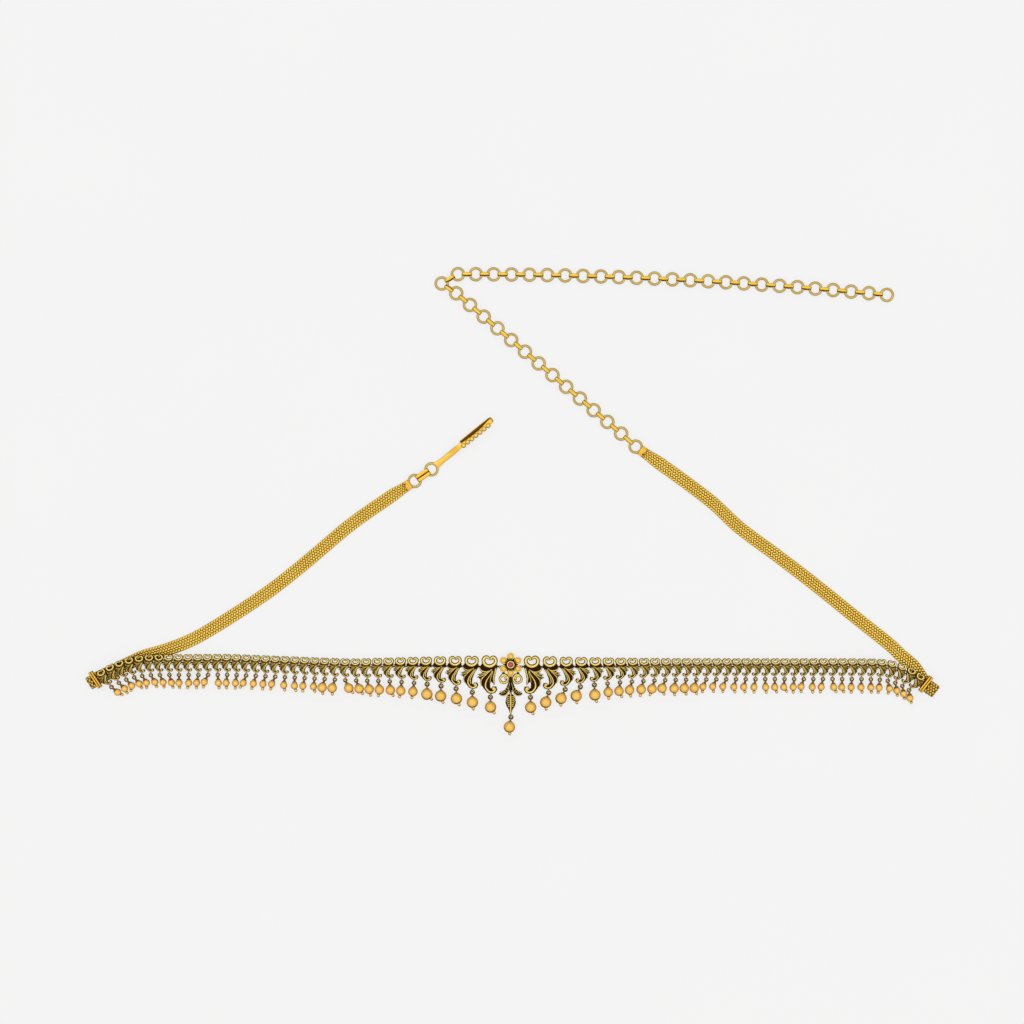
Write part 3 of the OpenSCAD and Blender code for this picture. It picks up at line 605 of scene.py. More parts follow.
def motif_plume(i):
    """All below the heart at the first motif's size: a blackened back, the bowl's rim, a leaf of three
    fingers, the plume's ribs and the curl's round end. On the small ones more is rubbed bright."""
    tone_level = rubbed(i)
    curl_end = [[0.05, 0.4, 0.1], [0.8, 0.5, 0.2], [0.9, 1.2, 0.6], [0.6, 1.65, 1], [0.05, 1.8, 1]]
    parts = [plate(BACK, 0.0, BACK_H, 0.12, 0.25 * tone_level, 0.1 + 0.2 * tone_level),
             rib(BOWL_RIM, 0.5, BACK_H + 0.3), rib(OUTER_RIB, 0.4, RIB_H, dim=0.9),
             rib(MIDDLE_RIB, 0.4, RIB_H + 0.1), turned(curl_end, 14).at(1.8, -11.5)]
    parts += [rib(finger, 0.3, BACK_H + 0.3, 2, 0.72 + 0.28 * tone_level) for finger in FINGERS]
    if i == 1:
        parts += [rib(INNER_RIB, 0.4, RIB_H - 0.15, dim=0.6), rib(OUTER_STRAND, 0.3, RIB_H - 0.1, dim=0.8),
                  plate(STRAND_BACK, 0.1, BACK_H - 0.05, 0.12, 0.05, 0.1)]
    else:
        parts.append(rib(BROAD_RIB, 0.4, RIB_H - 0.2, dim=0.6 + 0.4 * tone_level))
    return joined(parts)


def link_ring(i):
    """Small ring of flat wire on the inner side that stands across the link line."""
    flat = ring(link_r(i), 0.12, 16, 6, 0.3).moved(spin(90, "X")).scaled(1, 2.6, 1)
    return flat.at(ring_x(i) + link_r(i), -LINK_DROP, LINK_Z)


def link_tab(x, y, dark):
    """Flat loop of wire that takes the next motif's ring."""
    return ring(0.45, 0.1, 16, 6, dark).scaled(1, 1, 1.6).at(x, y, LINK_Z)


def drop_eye(i, foot, overlap):
    """Eye that stands across the drop's ring, and the stem from the relief's foot down into it."""
    (x, y), drop = jump_at(i), drop_size(i)
    eye = ring(drop.eye, drop.eye_wire, 16, 6, 0.75).moved(spin(90, "Y")).scaled(2.2, 1, 1)
    low, high = y + drop.ring + drop.eye - overlap, foot + STEM_SINK
    stem = tile(STEM_W, max(0.2, high - low), -STEM_HALF, STEM_HALF, 0.1, 0.6, 0.3)
    return [eye.at(x, y + drop.ring, LINK_Z), stem.at(x, (low + high) / 2, LINK_Z)]


def motif_links(i):
    """Tab outward with its hole, bar behind the relief, ring inward and the drop's eye below."""
    half_t, dark = 0.175, 0.2 + 0.25 * rubbed(i)
    left, right = -tab_x(i) + 0.42, ring_x(i) + 0.05
    bar = tile(right - left, 1.2, -half_t, half_t, 0.1, dark, 0.6 * dark)
    return joined([
        link_tab(-tab_x(i), -LINK_DROP, dark),
        bar.at((left + right) / 2, -LINK_DROP, LINK_Z),
        link_ring(i),
    ] + drop_eye(i, PLUME_FOOT * tall(i), 0.1))


def scroll_motif(side, i):
    k, wider = size(i), fade((i - 1) / 6)
    parts = [motif_heart(i).scaled(k * (1 + 0.13 * wider), k, 1),
             motif_plume(i).scaled(k * (1 + 0.08 * wider), tall(i), 1), motif_links(i)]
    return joined(parts).moved(station_matrix(side, i))


# Ball drops
def painted_shade_by_height(skin, centre, radius, low, reach=9.0):
    """Paints shade on a ball: its waist, where the surface turns from facing up to facing down, is painted
    dark, and below it the ball stays a little darker than on top; what is farther from its middle than
    reach times its radius stays as it is."""
    level = (skin.points[:, 2] - centre[2]) / radius
    near = np.linalg.norm(skin.points - centre, axis=1) < reach * radius
    crown = np.where(level > 0.1, 1.0, 0.75)
    return skin.dimmed(np.where(near, low + (crown - low) * fade((np.abs(level - 0.1) - 0.1) / 0.35), 1.0))


def ball_rows(radius, middle, first, last, steps):
    """Profile of a ball between two angles from its low pole."""
    way = radius * arc(np.linspace(first, last, steps))
    return np.c_[way[:, 1], middle - way[:, 0], np.ones(steps)]


def drop_form(i, swing, tip_turn, rise):
    """Drop about its jump ring, in mm: ring with a web and a bead in it, eye, neck, ball and tip,
    leaning by asin((ball radius - link height) / reach) so that the ball lies on the ground."""
    drop, large = drop_size(i), i <= LARGE_DROPS
    r, reach, jump = drop.ball, drop.reach, drop.ring
    hinge = -jump if large else jump * math.cos(math.radians(swing))
    lean = math.asin((r - LINK_Z - rise) / (reach + hinge))
    raised = shift(0, hinge - hinge * math.cos(lean), hinge * math.sin(lean))
    leaning = spin(swing) @ raised @ Matrix.Rotation(-lean, 4, "X")
    bead = [[0.03, -0.3, 0.4], [0.34, -0.2, 0.5], [0.36, 0.2, 1], [0.28, 0.36, 1], [0.03, 0.42, 1]]
    # The black web in the ring's lower half is painted shade inside the ring.
    web = plate(0.7 * arc(np.linspace(174, 366, 13)), -0.15, 0.1, 0.02, 0.0, 0.0)
    loop = joined([ring(jump, drop.wire + 0.03, 24, 8, 0.3, 0.05), web, turned(bead, 12).at(0, -0.12)])
    neck, fall = jump + drop.eye if large else jump, spin(90, "X")
    # The neck and the cap on the ball's top are painted dark, as shade under the ring.
    stem = [[0.03, neck - 0.15, 0.2], [0.34, neck - 0.05, 0.3], [0.42, neck + 0.2, 0.3],
            [0.55, reach - r - 0.25, 0.33], [0.95, reach - r, 0.3], [1.05, reach - r + 0.15, 0.3],
            [0.6 * r, reach - 0.8 * r, 0.9]]
    body = turned(np.vstack([stem, ball_rows(r, reach, 36, 172.8, 15)])).moved(fall)
    body = painted_shade_by_height(body, (0, -reach, 0), r, 0.32, 1.03)
    tip = [[0.03, r - 0.5, 0.2], [0.55, r - 0.2, 0.3], [0.58, r + 0.05, 0.25], [0.56, r + 0.14, 0.35],
           [0.64, r + 0.32, 0.62], [0.68, r + 0.6, 0.78], [0.55, r + 0.96, 0.65], [0.28, r + 1.18, 0.5],
           [0.03, r + 1.24, 0.45]]
    tip = turned(tip, 12).moved(shift(0, -reach) @ spin(tip_turn - swing) @ fall)
    parts = [body.moved(leaning), painted_shade_by_height(tip, (0, -reach, 0), 0.8, 0.5).moved(leaning)]
    if large:
        eye = ring(drop.eye, drop.eye_wire, 16, 6, 0.6).moved(spin(90, "Y"))
        parts += [eye.moved(leaning @ shift(0, -jump)), loop.moved(spin(swing))]
    else:
        parts.append(loop.moved(leaning))
    return joined(parts)


def row_drop(side, i):
    _, _, heading, d = ROWS[side][i]
    (x, y), (swing, tip) = jump_at(i), np.array(SWINGS[side][i - 1]) - side * heading
    ball_x = x - side * drop_size(i).reach * math.sin(math.radians(swing))
    rise = float(lift(side, d)) - ball_x * math.sin(slope(side, d))
    place = station_matrix(side, i) @ shift(x, y, LINK_Z)
    return drop_form(i, swing, tip, rise).moved(place @ MIRROR if side == RIGHT else place)


# The flower and its leaves
SIDE_LEAF = [[-0.5, -7.4, 0.8], [-0.9, -9.2, 1.3], [-1.5, -10.9, 1.7], [-2.9, -12.1, 1.8],
             [-4.6, -12.2, 0.6]]
LEAF_EDGE = [[-0.8, -9.4, 0.35], [-1.1, -11.3, 0.42], [-2.1, -12.75, 0.5], [-3.6, -13.05, 0.45],
             [-4.7, -12.5, 0.35]]
TEETH = ((-1.2, -10.2), (-1.75, -11.1), (-2.4, -11.75), (-3.1, -12.1), (-3.8, -12.3))
FEATHER_FOOT = -20.2
FEATHER = [[0, -12.4]] + mirrored([[-0.9, -12.6], [-1.75, -13.9], [-2.2, -15.9], [-1.7, -17.6],
                                   [-0.8, -18.9], [-0.4, FEATHER_FOOT]])


def petals():
    """The six petals' raised rims, and their domed middles, which are darker towards the flower's."""
    rim = wire(np.c_[circle(24) * [1.38, 1.26], np.full(24, 1.72)], 0.25, 8)
    dome = turned([[1.0, 0.0, 0.05], [1.02, 1.2, 0.05], [0.94, 1.62, 0.1], [0.8, 1.9, 0.5],
                   [0.55, 2.18, 1], [0.25, 2.33, 1], [0.02, 2.36, 1]], 20).scaled(1.5, 1.38, 1)
    rim = rim.dimmed(fade((rim.points[:, 0] + 1.9) / 1.7))
    dome = dome.dimmed(fade((dome.points[:, 0] + 2) / 2.3))
    places = [shift(*FLOWER) @ spin(degrees) @ shift(3.4, 0) for degrees in range(30, 331, 60)]
    return [joined([skin.moved(place) for place in places]) for skin in (rim, dome)]


def centre_half():
    """Left half of what hangs under the flower: curl, knobs, side leaf with teeth and half the veins."""
    steps = np.arange(21)
    spread = 1.72 - 1.0 * fade((steps - 11) / 9)[:, None]
    curl = rib(np.c_[spread * arc(np.linspace(110, -380, 21)), 1.2 - 0.35 * steps / 20], -0.6, 0.75, 2)
    knob = turned([[0.05, 0.2, 0.3], [0.52, 0.3, 0.4], [0.55, 1.1, 0.7], [0.3, 1.5, 1],
                   [0.02, 1.55, 1]], 12)
    teeth = [rib([[x + 0.2, y - 0.1, 0.3], [x - 0.3, y + 0.5, 0.4], [x - 0.5, y + 0.95, 0.3]], 0.6,
                 RIB_H - 0.1, 2, 0.8) for x, y in TEETH]
    veins = [rib([[-0.3, y - 0.8, 0.45], [-1.1, y - 0.6, 0.5], [-1.95 + 0.14 * (j - 2) ** 2, y, 0.35]],
                 0.6, 1.4, 2) for j, y in enumerate(-12.8 - 0.82 * np.arange(6))]
    return joined([
        curl.at(-2.86, -6.0, 0.75),
        knob.at(-1.75, -5.55),
        knob.dimmed(0.2).at(-3.05, -3.5),
        rib(SIDE_LEAF, 0.0, BACK_H, dim=0.12),
        rib(LEAF_EDGE, 0.3, RIB_H),
        rib([[-0.35, -7.6, 0.3], [-0.75, -9.5, 0.35], [-1.0, -11.2, 0.3]], 0.3, RIB_H - 0.2, dim=0.9),
    ] + teeth + veins)


def centre_flower():
    """Disc and bezel of the flower, all that hangs under it, and the tabs that take the first motifs."""
    bezel = turned([[1.2, 0.6, 0.1], [1.62, 0.9, 0.1], [1.62, 1.8, 0.3], [1.54, 2.06, 1], [1.36, 2.12, 1],
                    [1.18, 2.04, 1], [1.12, 1.4, 0.8], [0.9, 1.32, 0.3], [0.02, 1.3, 0.1]], 28)
    cup = turned([[0.05, 0.1, 0.1], [1.0, 0.2, 0.1], [1.02, 1.1, 0.12], [0.7, 1.4, 0.25],
                  [0.02, 1.45, 0.1]], 18)
    stem = rib([[0, -4.6, 0.9], [0, -9, 1.0], [0, -13.2, 0.9]], 0.0, BACK_H, dim=0.12)
    middle = rib([[0, -11.8, 0.6], [0, -15, 1.0], [0, -18, 0.95], [0, -20.4, 0.8]], 0.3, 1.75, dim=1.2)
    half = centre_half()
    parts = [plate(3.1 * circle(32), 0.0, 1.0, 0.1, 0.0, 0.2), bezel, cup.at(0, -6.2), stem,
             plate(FEATHER, 0.0, BACK_H, 0.15, 0.0, 0.2), middle, half, half.moved(MIRROR)]
    parts += drop_eye(0, FEATHER_FOOT, STEM_SINK)
    link_y, bar = HEART_RISE - LINK_DROP, tile(1.6, 1.1, -0.17, 0.17, 0.1, 0.2, 0.1)
    for s in (-1, 1):
        parts += [link_tab(s * FIRST_TAB, link_y, 0.2), bar.at(s * 3.5, link_y, LINK_Z)]
    return joined(parts).at(*FLOWER)


# Woven bands, bars and caps
BAR_LEN, BAR_W, BAR_H, BAR_SHIFT, BAR_I, GAP = 7.8, 1.9, 1.7, -1.1, MOTIFS + 1, 0.135
# Distance from the bar's middle line to the fold, and the band's way back
FOLDS = {LEFT: 2.6, RIGHT: 4.7}
ROUTES = {
    LEFT: [[-166.6, -71], [-159.4, -67.4], [-154.4, -65.2], [-144.8, -62.4], [-132.7, -57.4],
           [-116.6, -47.7], [-100.6, -36.9], [-84.5, -24], [-68.4, -10.4], [-52.4, 0.9], [-44, 6.4]],
    RIGHT: [[168.5, -69.6], [163, -64.8], [158, -60.1], [144.1, -49], [126.6, -34.9],
            [111.3, -23.2], [95.3, -11.3], [83.5, -0.4], [68.5, 10.9], [54.6, 20.7]],
}
FOLD_R = (BAND_T + 0.15) / 2
# Share by which the band narrows, and over what length, as it is drawn into its cap
CAP_DRAW, DRAW_LEN = 0.22, 9
# The dark core strip's section: across and up
CORE = (np.array(mirrored([[1, -0.5], [1, 0.5], [0.94, 1]]) + [[-0.94, -1], [0.94, -1]])
        * [BAND_W / 2 - 0.3, BAND_T / 2 - 0.26])
# A loop of wire: where along it, girth and brightness; then half its length as a share of the stitch, its
# slant, its half width as a share of its column's, its number of sides, and how deep it lies
LOOP = np.array([[-1, 0.3, 0.05], [-0.55, 0.85, 0.7], [0, 1, 1], [0.55, 0.85, 0.7], [1, 0.3, 0.05]])
LOOP_REACH, LOOP_SLANT, LOOP_WIDTH, LOOP_SIDES, LOOP_SINK = 0.56, 0.36, 0.47, 5, 0.03
COLUMNS = 5
# How far from the band's two ends its first and last loops are
FIRST_LOOP, LAST_LOOP = 0.45, 0.35


def band_frame(side, spacing):
    """Even steps along the band's middle line, and a function that gives the line and its two cross
    directions at any distance: out from the bar on top, round a half circle of the fold's radius and
    back along the ground. The flat one shortens where the band is drawn into its cap."""
    x, y, heading, _ = ROWS[side][BAR_I]
    a = 180 - heading if side == LEFT else heading
    u = unit_at(a)
    back = np.array([FLOWER[0] + side * x, FLOWER[1] + HEART_RISE - LINK_DROP + y])
    back = back + (BAR_W - ring_x(BAR_I) + GAP) * u + BAR_SHIFT * unit_at(a - 90 * side)
    turn = back + (FOLDS[side] - FOLD_R - BAND_T / 2) * u
    bend = FOLD_R * arc(np.arange(0, 181, 12))
    fold = np.c_[turn + bend[:, 1:] * u, BAND_T / 2 + FOLD_R + bend[:, 0]]
    low = smooth_line([turn, turn - 4 * u] + ROUTES[side], 6)[1:]
    start = np.r_[back, BAND_T / 2 + 2 * FOLD_R]
    line = np.vstack([start, fold, np.c_[low, np.full(len(low), BAND_T / 2)]])
    way = headings_of(line)
    far = np.zeros(len(line))
    far[1:] = np.cumsum(np.linalg.norm(np.diff(line, axis=0), axis=1))
    flat, run = np.zeros((len(line), 3)), len(fold) + 1
    flat[:run, :2] = left_of(u)
    flat[run:, :2] = left_of(-unit(way[run:, :2]))
    up = np.cross(way, flat)

    def frame_at(at):
        pick = lambda v: np.stack([np.interp(at, far, v[:, k]) for k in range(3)], -1)
        narrow = 1 - CAP_DRAW * fade((at - far[-1] + DRAW_LEN) / DRAW_LEN)
        return pick(line), narrow[..., None] * unit(pick(flat)), unit(pick(up))

    return np.arange(FIRST_LOOP, far[-1] - LAST_LOOP, spacing), frame_at


def woven_band(side, stitch, wire_r):
    """Dark core strip with slanted loops of flattened wire all round it: five columns above and below
    and one on each edge; the core's black is partly patina and partly painted shade inside the weave.
    A loop is a five-sided rod, widest and highest in its middle, that follows the band's bend. The
    loops are darker towards the bar."""
    places, frame_at = band_frame(side, stitch)
    line, flat, up = frame_at(places)
    core = wrapped(line[:, None] + CORE[:, :1] * flat[:, None] + CORE[:, 1:] * up[:, None], 0.0)
    along, girth, glow = LOOP[:, 0] * LOOP_REACH * stitch, LOOP[:, 1, None, None], LOOP[:, 2:]
    across, out = circle(LOOP_SIDES)[:, :1], circle(LOOP_SIDES)[:, 1:]
    column_w = (BAND_W - 2 * wire_r) / COLUMNS
    tone_level = (0.52 + 0.48 * fade((places - 5) / 32))[:, None, None]
    rods, tones = [], []
    lay = [(c, face, False) for face in (1.0, -1.0) for c in range(-2, 3)] + [(1, 0, True), (-1, 0, True)]
    for column, face, edge in lay:
        odd = column % 2
        line, flat, up = frame_at(places[:, None] + 0.5 * stitch * odd + along)
        if edge:
            side_way, out_way, wide = up, column * flat, wire_r
            spine = line + out_way * (BAND_W / 2 - wire_r - LOOP_SINK)
        else:
            side_way, out_way, wide = flat, face * up, LOOP_WIDTH * column_w
            spine = line + flat * (column * column_w) + out_way * (BAND_T / 2 - wire_r - LOOP_SINK)
            spine = spine + ((LOOP_SLANT if odd else -LOOP_SLANT) * along)[:, None] * side_way
        rods.append(spine[:, :, None] + girth * (wide * across * side_way[:, :, None]
                                                 + wire_r * out * out_way[:, :, None]))
        # Patina and painted shade: each loop is darker at its ends and on its side towards the core, and
        # the edge loops are darker still.
        tones.append(tone_level * glow * (0.55 + 0.45 * np.clip(0.5 + out[:, 0], 0, 1)) * (0.75 if edge else 1))
    rods, tones = np.concatenate(rods), np.concatenate(tones)
    starts = len(LOOP) * LOOP_SIDES * np.arange(len(rods))[:, None, None]
    first = np.array([[0, 2, 1], [0, 3, 2], [0, 4, 3]])
    ends = np.concatenate([first, first[:, ::-1] + (len(LOOP) - 1) * LOOP_SIDES])
    loops = Skin(rods, grid_faces(len(LOOP), LOOP_SIDES, False) + starts, ends + starts, tones)
    return joined([core, loops.outward()])


def end_bar(side):
    """Bar across the band's end: a bevelled block with two half-round ribs along it."""
    x0, y0 = ring_x(BAR_I) - BAR_W / 2, -LINK_DROP - BAR_SHIFT
    block = tile(BAR_W, BAR_LEN, 0, 1.3, 0.1, 0.4, 0.6).at(x0, y0)
    ribs = [straight_rib(x0 + s * 0.5, y0, BAR_LEN - 0.9, 0.92, 0.9, BAR_H, 1.25) for s in (-1, 1)]
    return joined([block, link_ring(BAR_I)] + ribs).moved(station_matrix(side, BAR_I))


RING_R, RING_WIRE, STRIP_T, WIRE_W, WIRE_T = 2.63, 0.4, 0.25, 0.52, 0.42
RING_Z = STRIP_T + GAP + RING_WIRE + 0.05
CAP_W, CAP_END, CAP_OVER, CAP_LAP = 4.2, 0.9, 1.4, 0.45


def heading_of(v):
    return math.degrees(math.atan2(v[1], v[0]))


def band_end(side):
    """The band's last point and its heading in degrees."""
    a, b = np.array(ROUTES[side][-2:])
    return b, heading_of(b - a)


def cap_ring(side):
    end, heading = band_end(side)
    return end + (CAP_END + RING_R) * unit_at(heading)


def end_cap(side):
    """Folded cap over the band's end with a rivet and a ridge at the wall."""
    end, heading = band_end(side)
    low = BAND_T + GAP
    wall = tile(CAP_END, CAP_W, 0, BAND_T + 0.5, 0.12, 1, 0.7)
    top = tile(CAP_OVER + CAP_LAP, CAP_W, low, low + 0.34, 0.1, 0.95, 0.5).at((CAP_LAP - CAP_OVER) / 2, 0)
    rivet = turned([[0.4, 1.6, 0.0], [0.42, 1.7, 0.0], [0.3, 1.72, 0.1], [0.02, 1.69, 0.0]], 12)
    return joined([
        wall.at(2 * GAP + CAP_END / 2, 0),
        top.dimmed(0.4 + 0.6 * fade((top.points[:, 0] + CAP_OVER) / 1.2)),
        straight_rib(0.12, 0, CAP_W - 0.6, 0.4, 1.4, 1.72),
        rivet.at(-0.75, 0.95),
    ]).moved(shift(*end) @ spin(heading))


def chain_ring(middle):
    """Ring of slightly flattened wire at a point of the board, as large outside as the frame's."""
    one = ring(RING_R + RING_WIRE - WIRE_W, WIRE_W, 40, 10, 1.0, 0.26).scaled(1, 1, WIRE_T / WIRE_W)
    return one.at(*middle, RING_Z)


# Chain and hook; their strips seen on end are across, up and brightness, whose dark edges and undersides
# are painted shade. The rolled one is painted dark brown along one edge, as shade, the wide one has two
# ridges with a slit between them, and the hook's is crowned.
PLAIN_STRIP = np.array([[-1, -0.5, 0], [-1, 0.4, 0.1], [-0.7, 0.9, 0.45], [-0.1, 1.2, 1], [0.5, 1, 0.9],
                        [1, 0.4, 0.1], [1, -0.5, 0], [0.88, -1, 0], [-0.88, -1, 0]])
ROLLED_STRIP = np.array([[-1, -0.5, 0], [-1, 0.3, 0.1], [-0.55, 0.8, 0.1], [-0.25, 1.1, 0.8],
                         [0.1, 1.2, 1], [0.7, 1.1, 0.9], [1, 0.5, 0.3], [1, -0.5, 0.2], [0.88, -1, 0.1],
                         [-0.88, -1, 0]])
RIDGED_STRIP = np.array(mirrored([[-1, -0.5, 0.1], [-1, 0.5, 0.2], [-0.85, 1, 0.8], [-0.55, 1.3, 1],
                                  [-0.25, 1, 0.7], [-0.12, 0.2, 0]]) + [[0.88, -1, 0.1], [-0.88, -1, 0.1]])
HOOK_BAR = np.array([[-1, -0.5, 0.28], [-1, 0.4, 0.4], [-0.8, 0.85, 1], [0, 1.0, 1], [0.8, 0.85, 1],
                     [1, 0.4, 0.4], [1, -0.5, 0.28], [0.8, -1, 0.3], [-0.8, -1, 0.3]])
# A strip's width at its ends, and that in its middle as a share of it
CHAIN_STRIP, HOOK_STRIP = (1.3, 1.4), (2.9, 1.16)
# The slanting stretch's ends and steps, the ring at the turn, and the long run's steps, start and reach
SLANT_ENDS, SLANT_STEPS, TURN_RING = np.array([[45.6, 28.2], [-23.6, 87.1]]), 12, np.array([-29.7, 91.2])
RUN_STEPS, RUN_START, RUN_REACH = 24, (-22.9, 95.1), (180.0, -8.7)


def swept(line, profile, loop=False):
    """Strip along a path that turns in the plane square to Y: the line's columns are point, width and
    thickness, and the profile stands across it at each point."""
    across = np.array([0.0, 1.0, 0.0])
    up = unit(np.cross(headings_of(line[:, :3], loop), across))
    grid = (line[:, None, :3] + line[:, None, 3:4] / 2 * profile[:, :1] * across
            + line[:, None, 4:] / 2 * profile[:, 1:2] * up[:, None])
    return wrapped(grid, profile[:, 2], loop)


def link_between(a, b, strip, profile):
    """Strip bent round two rings' wires: a stadium of half circles, whose corners stay 0.05 mm clear of
    the ring's inside."""
    wide, middle = strip
    bore, r = RING_R + RING_WIRE - 2 * WIRE_W, RING_WIRE + GAP + STRIP_T / 2
    span = float(np.linalg.norm(b - a)) - 2 * RING_R
    half = span / 2 + RING_R - math.sqrt(bore * bore - wide * wide / 4) + 0.05 + STRIP_T / 2 - r
    end = np.insert(r * arc(np.linspace(90, -90, 9)) + [half, 0], 1, 0, axis=1)
    flat = np.linspace(0.75, -0.75, 5)[:, None] * [half, 0, 0]
    path = np.vstack([end, flat - [0, 0, r], end[::-1] * [-1, 1, 1], -flat + [0, 0, r]])
    width = wide * (middle + (1 - middle) * np.clip(np.abs(path[:, 0]) / half, 0, 1) ** 1.5)
    line = np.c_[path, width, np.full(len(path), STRIP_T)]
    return swept(line, profile, True).moved(shift(*(a + b) / 2, RING_Z) @ spin(heading_of(b - a)))


def chain_routes():
    """Ring middles: a straight slanting stretch, one ring at the turn and a stretch that bows down
    as the square of its length."""
    start, stop = SLANT_ENDS
    slant = [start + (stop - start) * i / SLANT_STEPS for i in range(SLANT_STEPS + 1)]
    t = np.arange(RUN_STEPS + 1) / RUN_STEPS
    long_run = np.stack([RUN_START[0] + RUN_REACH[0] * t, RUN_START[1] + RUN_REACH[1] * t * t], -1)
    return [cap_ring(RIGHT)] + slant, [stop, TURN_RING] + list(long_run)


HOOK_LEN, HOOK_TURN, BLADE_W, BLADE_T, BLADE_Z = 33.2, 39, 1.95, 0.72, 2.2
TONGUE_Z, TONGUE_SIDE, TONGUE_T = BLADE_T / 2, 0.75, BLADE_T * 0.95
BEND_R = (BLADE_Z - TONGUE_Z) / 2
BEND_X = HOOK_LEN - BEND_R - 0.4
# Rows of the hook's bars: along, side, height, width and thickness
SHANK = [[2.35, 0, RING_Z, 3.5, 0.74], [3.0, 0, RING_Z, 3.1, 0.82], [4.0, 0, RING_Z, 2.55, 0.9],
         [6.5, 0, RING_Z, 2.25, 0.9], [10, 0, RING_Z + 0.02, 2.4, 0.9], [12.4, 0, 1.5, 2.48, 0.85],
         [14.4, 0, BLADE_Z - 0.05, 2.3, 0.76], [16.3, 0, BLADE_Z, 1.9, 0.7]]
BLADE = [[15, 0, BLADE_Z, BLADE_W, BLADE_T * 0.9], [17.5, -0.2, BLADE_Z, 1.55, BLADE_T],
         [22, -0.35, BLADE_Z, 1.25, BLADE_T], [27, -0.3, BLADE_Z, 1.35, BLADE_T],
         [BEND_X - 1, 0, BLADE_Z, BLADE_W, BLADE_T]]
TONGUE = [[BEND_X + 0.2, TONGUE_SIDE, TONGUE_Z, 2.0, TONGUE_T], [24, TONGUE_SIDE, TONGUE_Z, 2.1, TONGUE_T],
          [16.5, TONGUE_SIDE, TONGUE_Z, 2.0, TONGUE_T]]
BEADS, BEAD_STEP, FIRST_BEAD = 7, 2.2, (16.8, -0.72)
# Distance and direction in degrees from the left cap's ring to the hook's
LINK_LEN, LINK_HEADING = 8.57, 34.6


def hook_ring():
    return cap_ring(LEFT) + LINK_LEN * unit_at(LINK_HEADING)


def hook_form(bead_r):
    """Hook along X from its ring, a flared shank, a blade and a tongue that doubles back below; and the
    blade's beads."""
    x, z = (BEND_R * arc(np.linspace(90, -90, 9)) + [BEND_X, BLADE_Z - BEND_R]).T
    bend = np.c_[x, np.linspace(0, TONGUE_SIDE, 9), z, np.full(9, BLADE_W), np.full(9, BLADE_T)]
    edge = rib([[16.6, 1.62, 0.3], [24, 1.66, 0.34], [BEND_X, 1.62, 0.3]], 0.5, BLADE_T + 0.12)
    # The tongue below the blade is painted darker, as shade under the blade.
    hook = [swept(smooth_line(SHANK, 3), HOOK_BAR), swept(smooth_line(BLADE + bend.tolist(), 2), HOOK_BAR),
            swept(smooth_line(TONGUE, 3), HOOK_BAR).dimmed(0.55), edge]
    bead = turned(ball_rows(bead_r, 0, 5.4, 174.6, 9), 16)
    bead = painted_shade_by_height(bead, (0, 0, 0), bead_r, 0.3).dimmed(0.8)
    beads = [bead.at(FIRST_BEAD[0] + BEAD_STEP * i, FIRST_BEAD[1], BLADE_Z) for i in range(BEADS)]
    place = shift(*hook_ring()) @ spin(HOOK_TURN)
    return joined(hook).moved(place), joined(beads).moved(place)


# Settings, operators and panel
def number(name, description, default, least=0.0, **more):
    return bpy.props.FloatProperty(name=name, description=description, default=default, min=least, **more)


def length(name, description, mm):
    return number(name, description, mm * MM, precision=5, unit="LENGTH")


class BeltWeave(bpy.types.PropertyGroup):
    """Sizes of the woven bands and of the hook's beads."""

    stitch: length("Stitch", "Distance between two wire loops along the band", 1.25)
    wire: length("Wire", "Radius of the woven wire", 0.27)
    bead: length("Bead", "Radius of a bead on the hook's blade", 1.07)


class BeltStage(bpy.types.PropertyGroup):
    """Camera, light and board of the picture."""

    lens: number("Lens", "Focal length in mm", 85.0, 20.0)
    frame_width: length("Frame width", "Width of the board that the picture takes in", 430.08)
    middle: bpy.props.FloatVectorProperty(name="Middle", description="Middle of the picture on the board",
                                          size=2, default=(-0.0002, -0.0047), subtype="TRANSLATION",
                                          precision=5)
    board: length("Board", "Side of the white board", 16000.0)
    key_light: number("Key light", "Power of the box behind the left", 1.0, unit="POWER")
    fill_light: number("Fill light", "Power of the box on the right", 0.6, unit="POWER")
    room_light: number("Room light", "Strength of the room's light", 1.2)


def make_rows(form, finish, kind, node, row_node):
    """A piece for each motif or drop with a node of its own, and one for the rest, on both sides."""
    for side, word in SIDES.items():
        for i in range(1, OWN_NODES + 1):
            make_piece(f"{kind}_{word}_{i}", form(side, i), finish, f"{node}_{word}_{i}")
        rest = joined([form(side, i) for i in range(OWN_NODES + 1, MOTIFS + 1)])
        make_piece(f"{kind}s_{word}", rest, finish, f"{row_node}_{word}")


class BELT_OT_scroll_motifs(bpy.types.Operator):
    """Cast scroll motifs on both sides of the flower"""

    bl_idname = "belt.scroll_motifs"
    bl_label = "Scroll motifs"

    def execute(self, context):
        make_rows(scroll_motif, "cast_gold", "scroll", "motif", "scroll_row")
        return {"FINISHED"}


class BELT_OT_ball_drops(bpy.types.Operator):
    """Gold balls with tips that hang from the motifs and the flower"""

    bl_idname = "belt.ball_drops"
    bl_label = "Ball drops"

    def execute(self, context):
        make_rows(row_drop, "ball_gold", "ball", "drop", "drop_row")
        centre = drop_form(0, CENTRE_SWING, CENTRE_TIP, 0).at(*FLOWER + jump_at(0), LINK_Z)
        make_piece("ball_centre", centre, "ball_gold", "centre_drop")
        return {"FINISHED"}


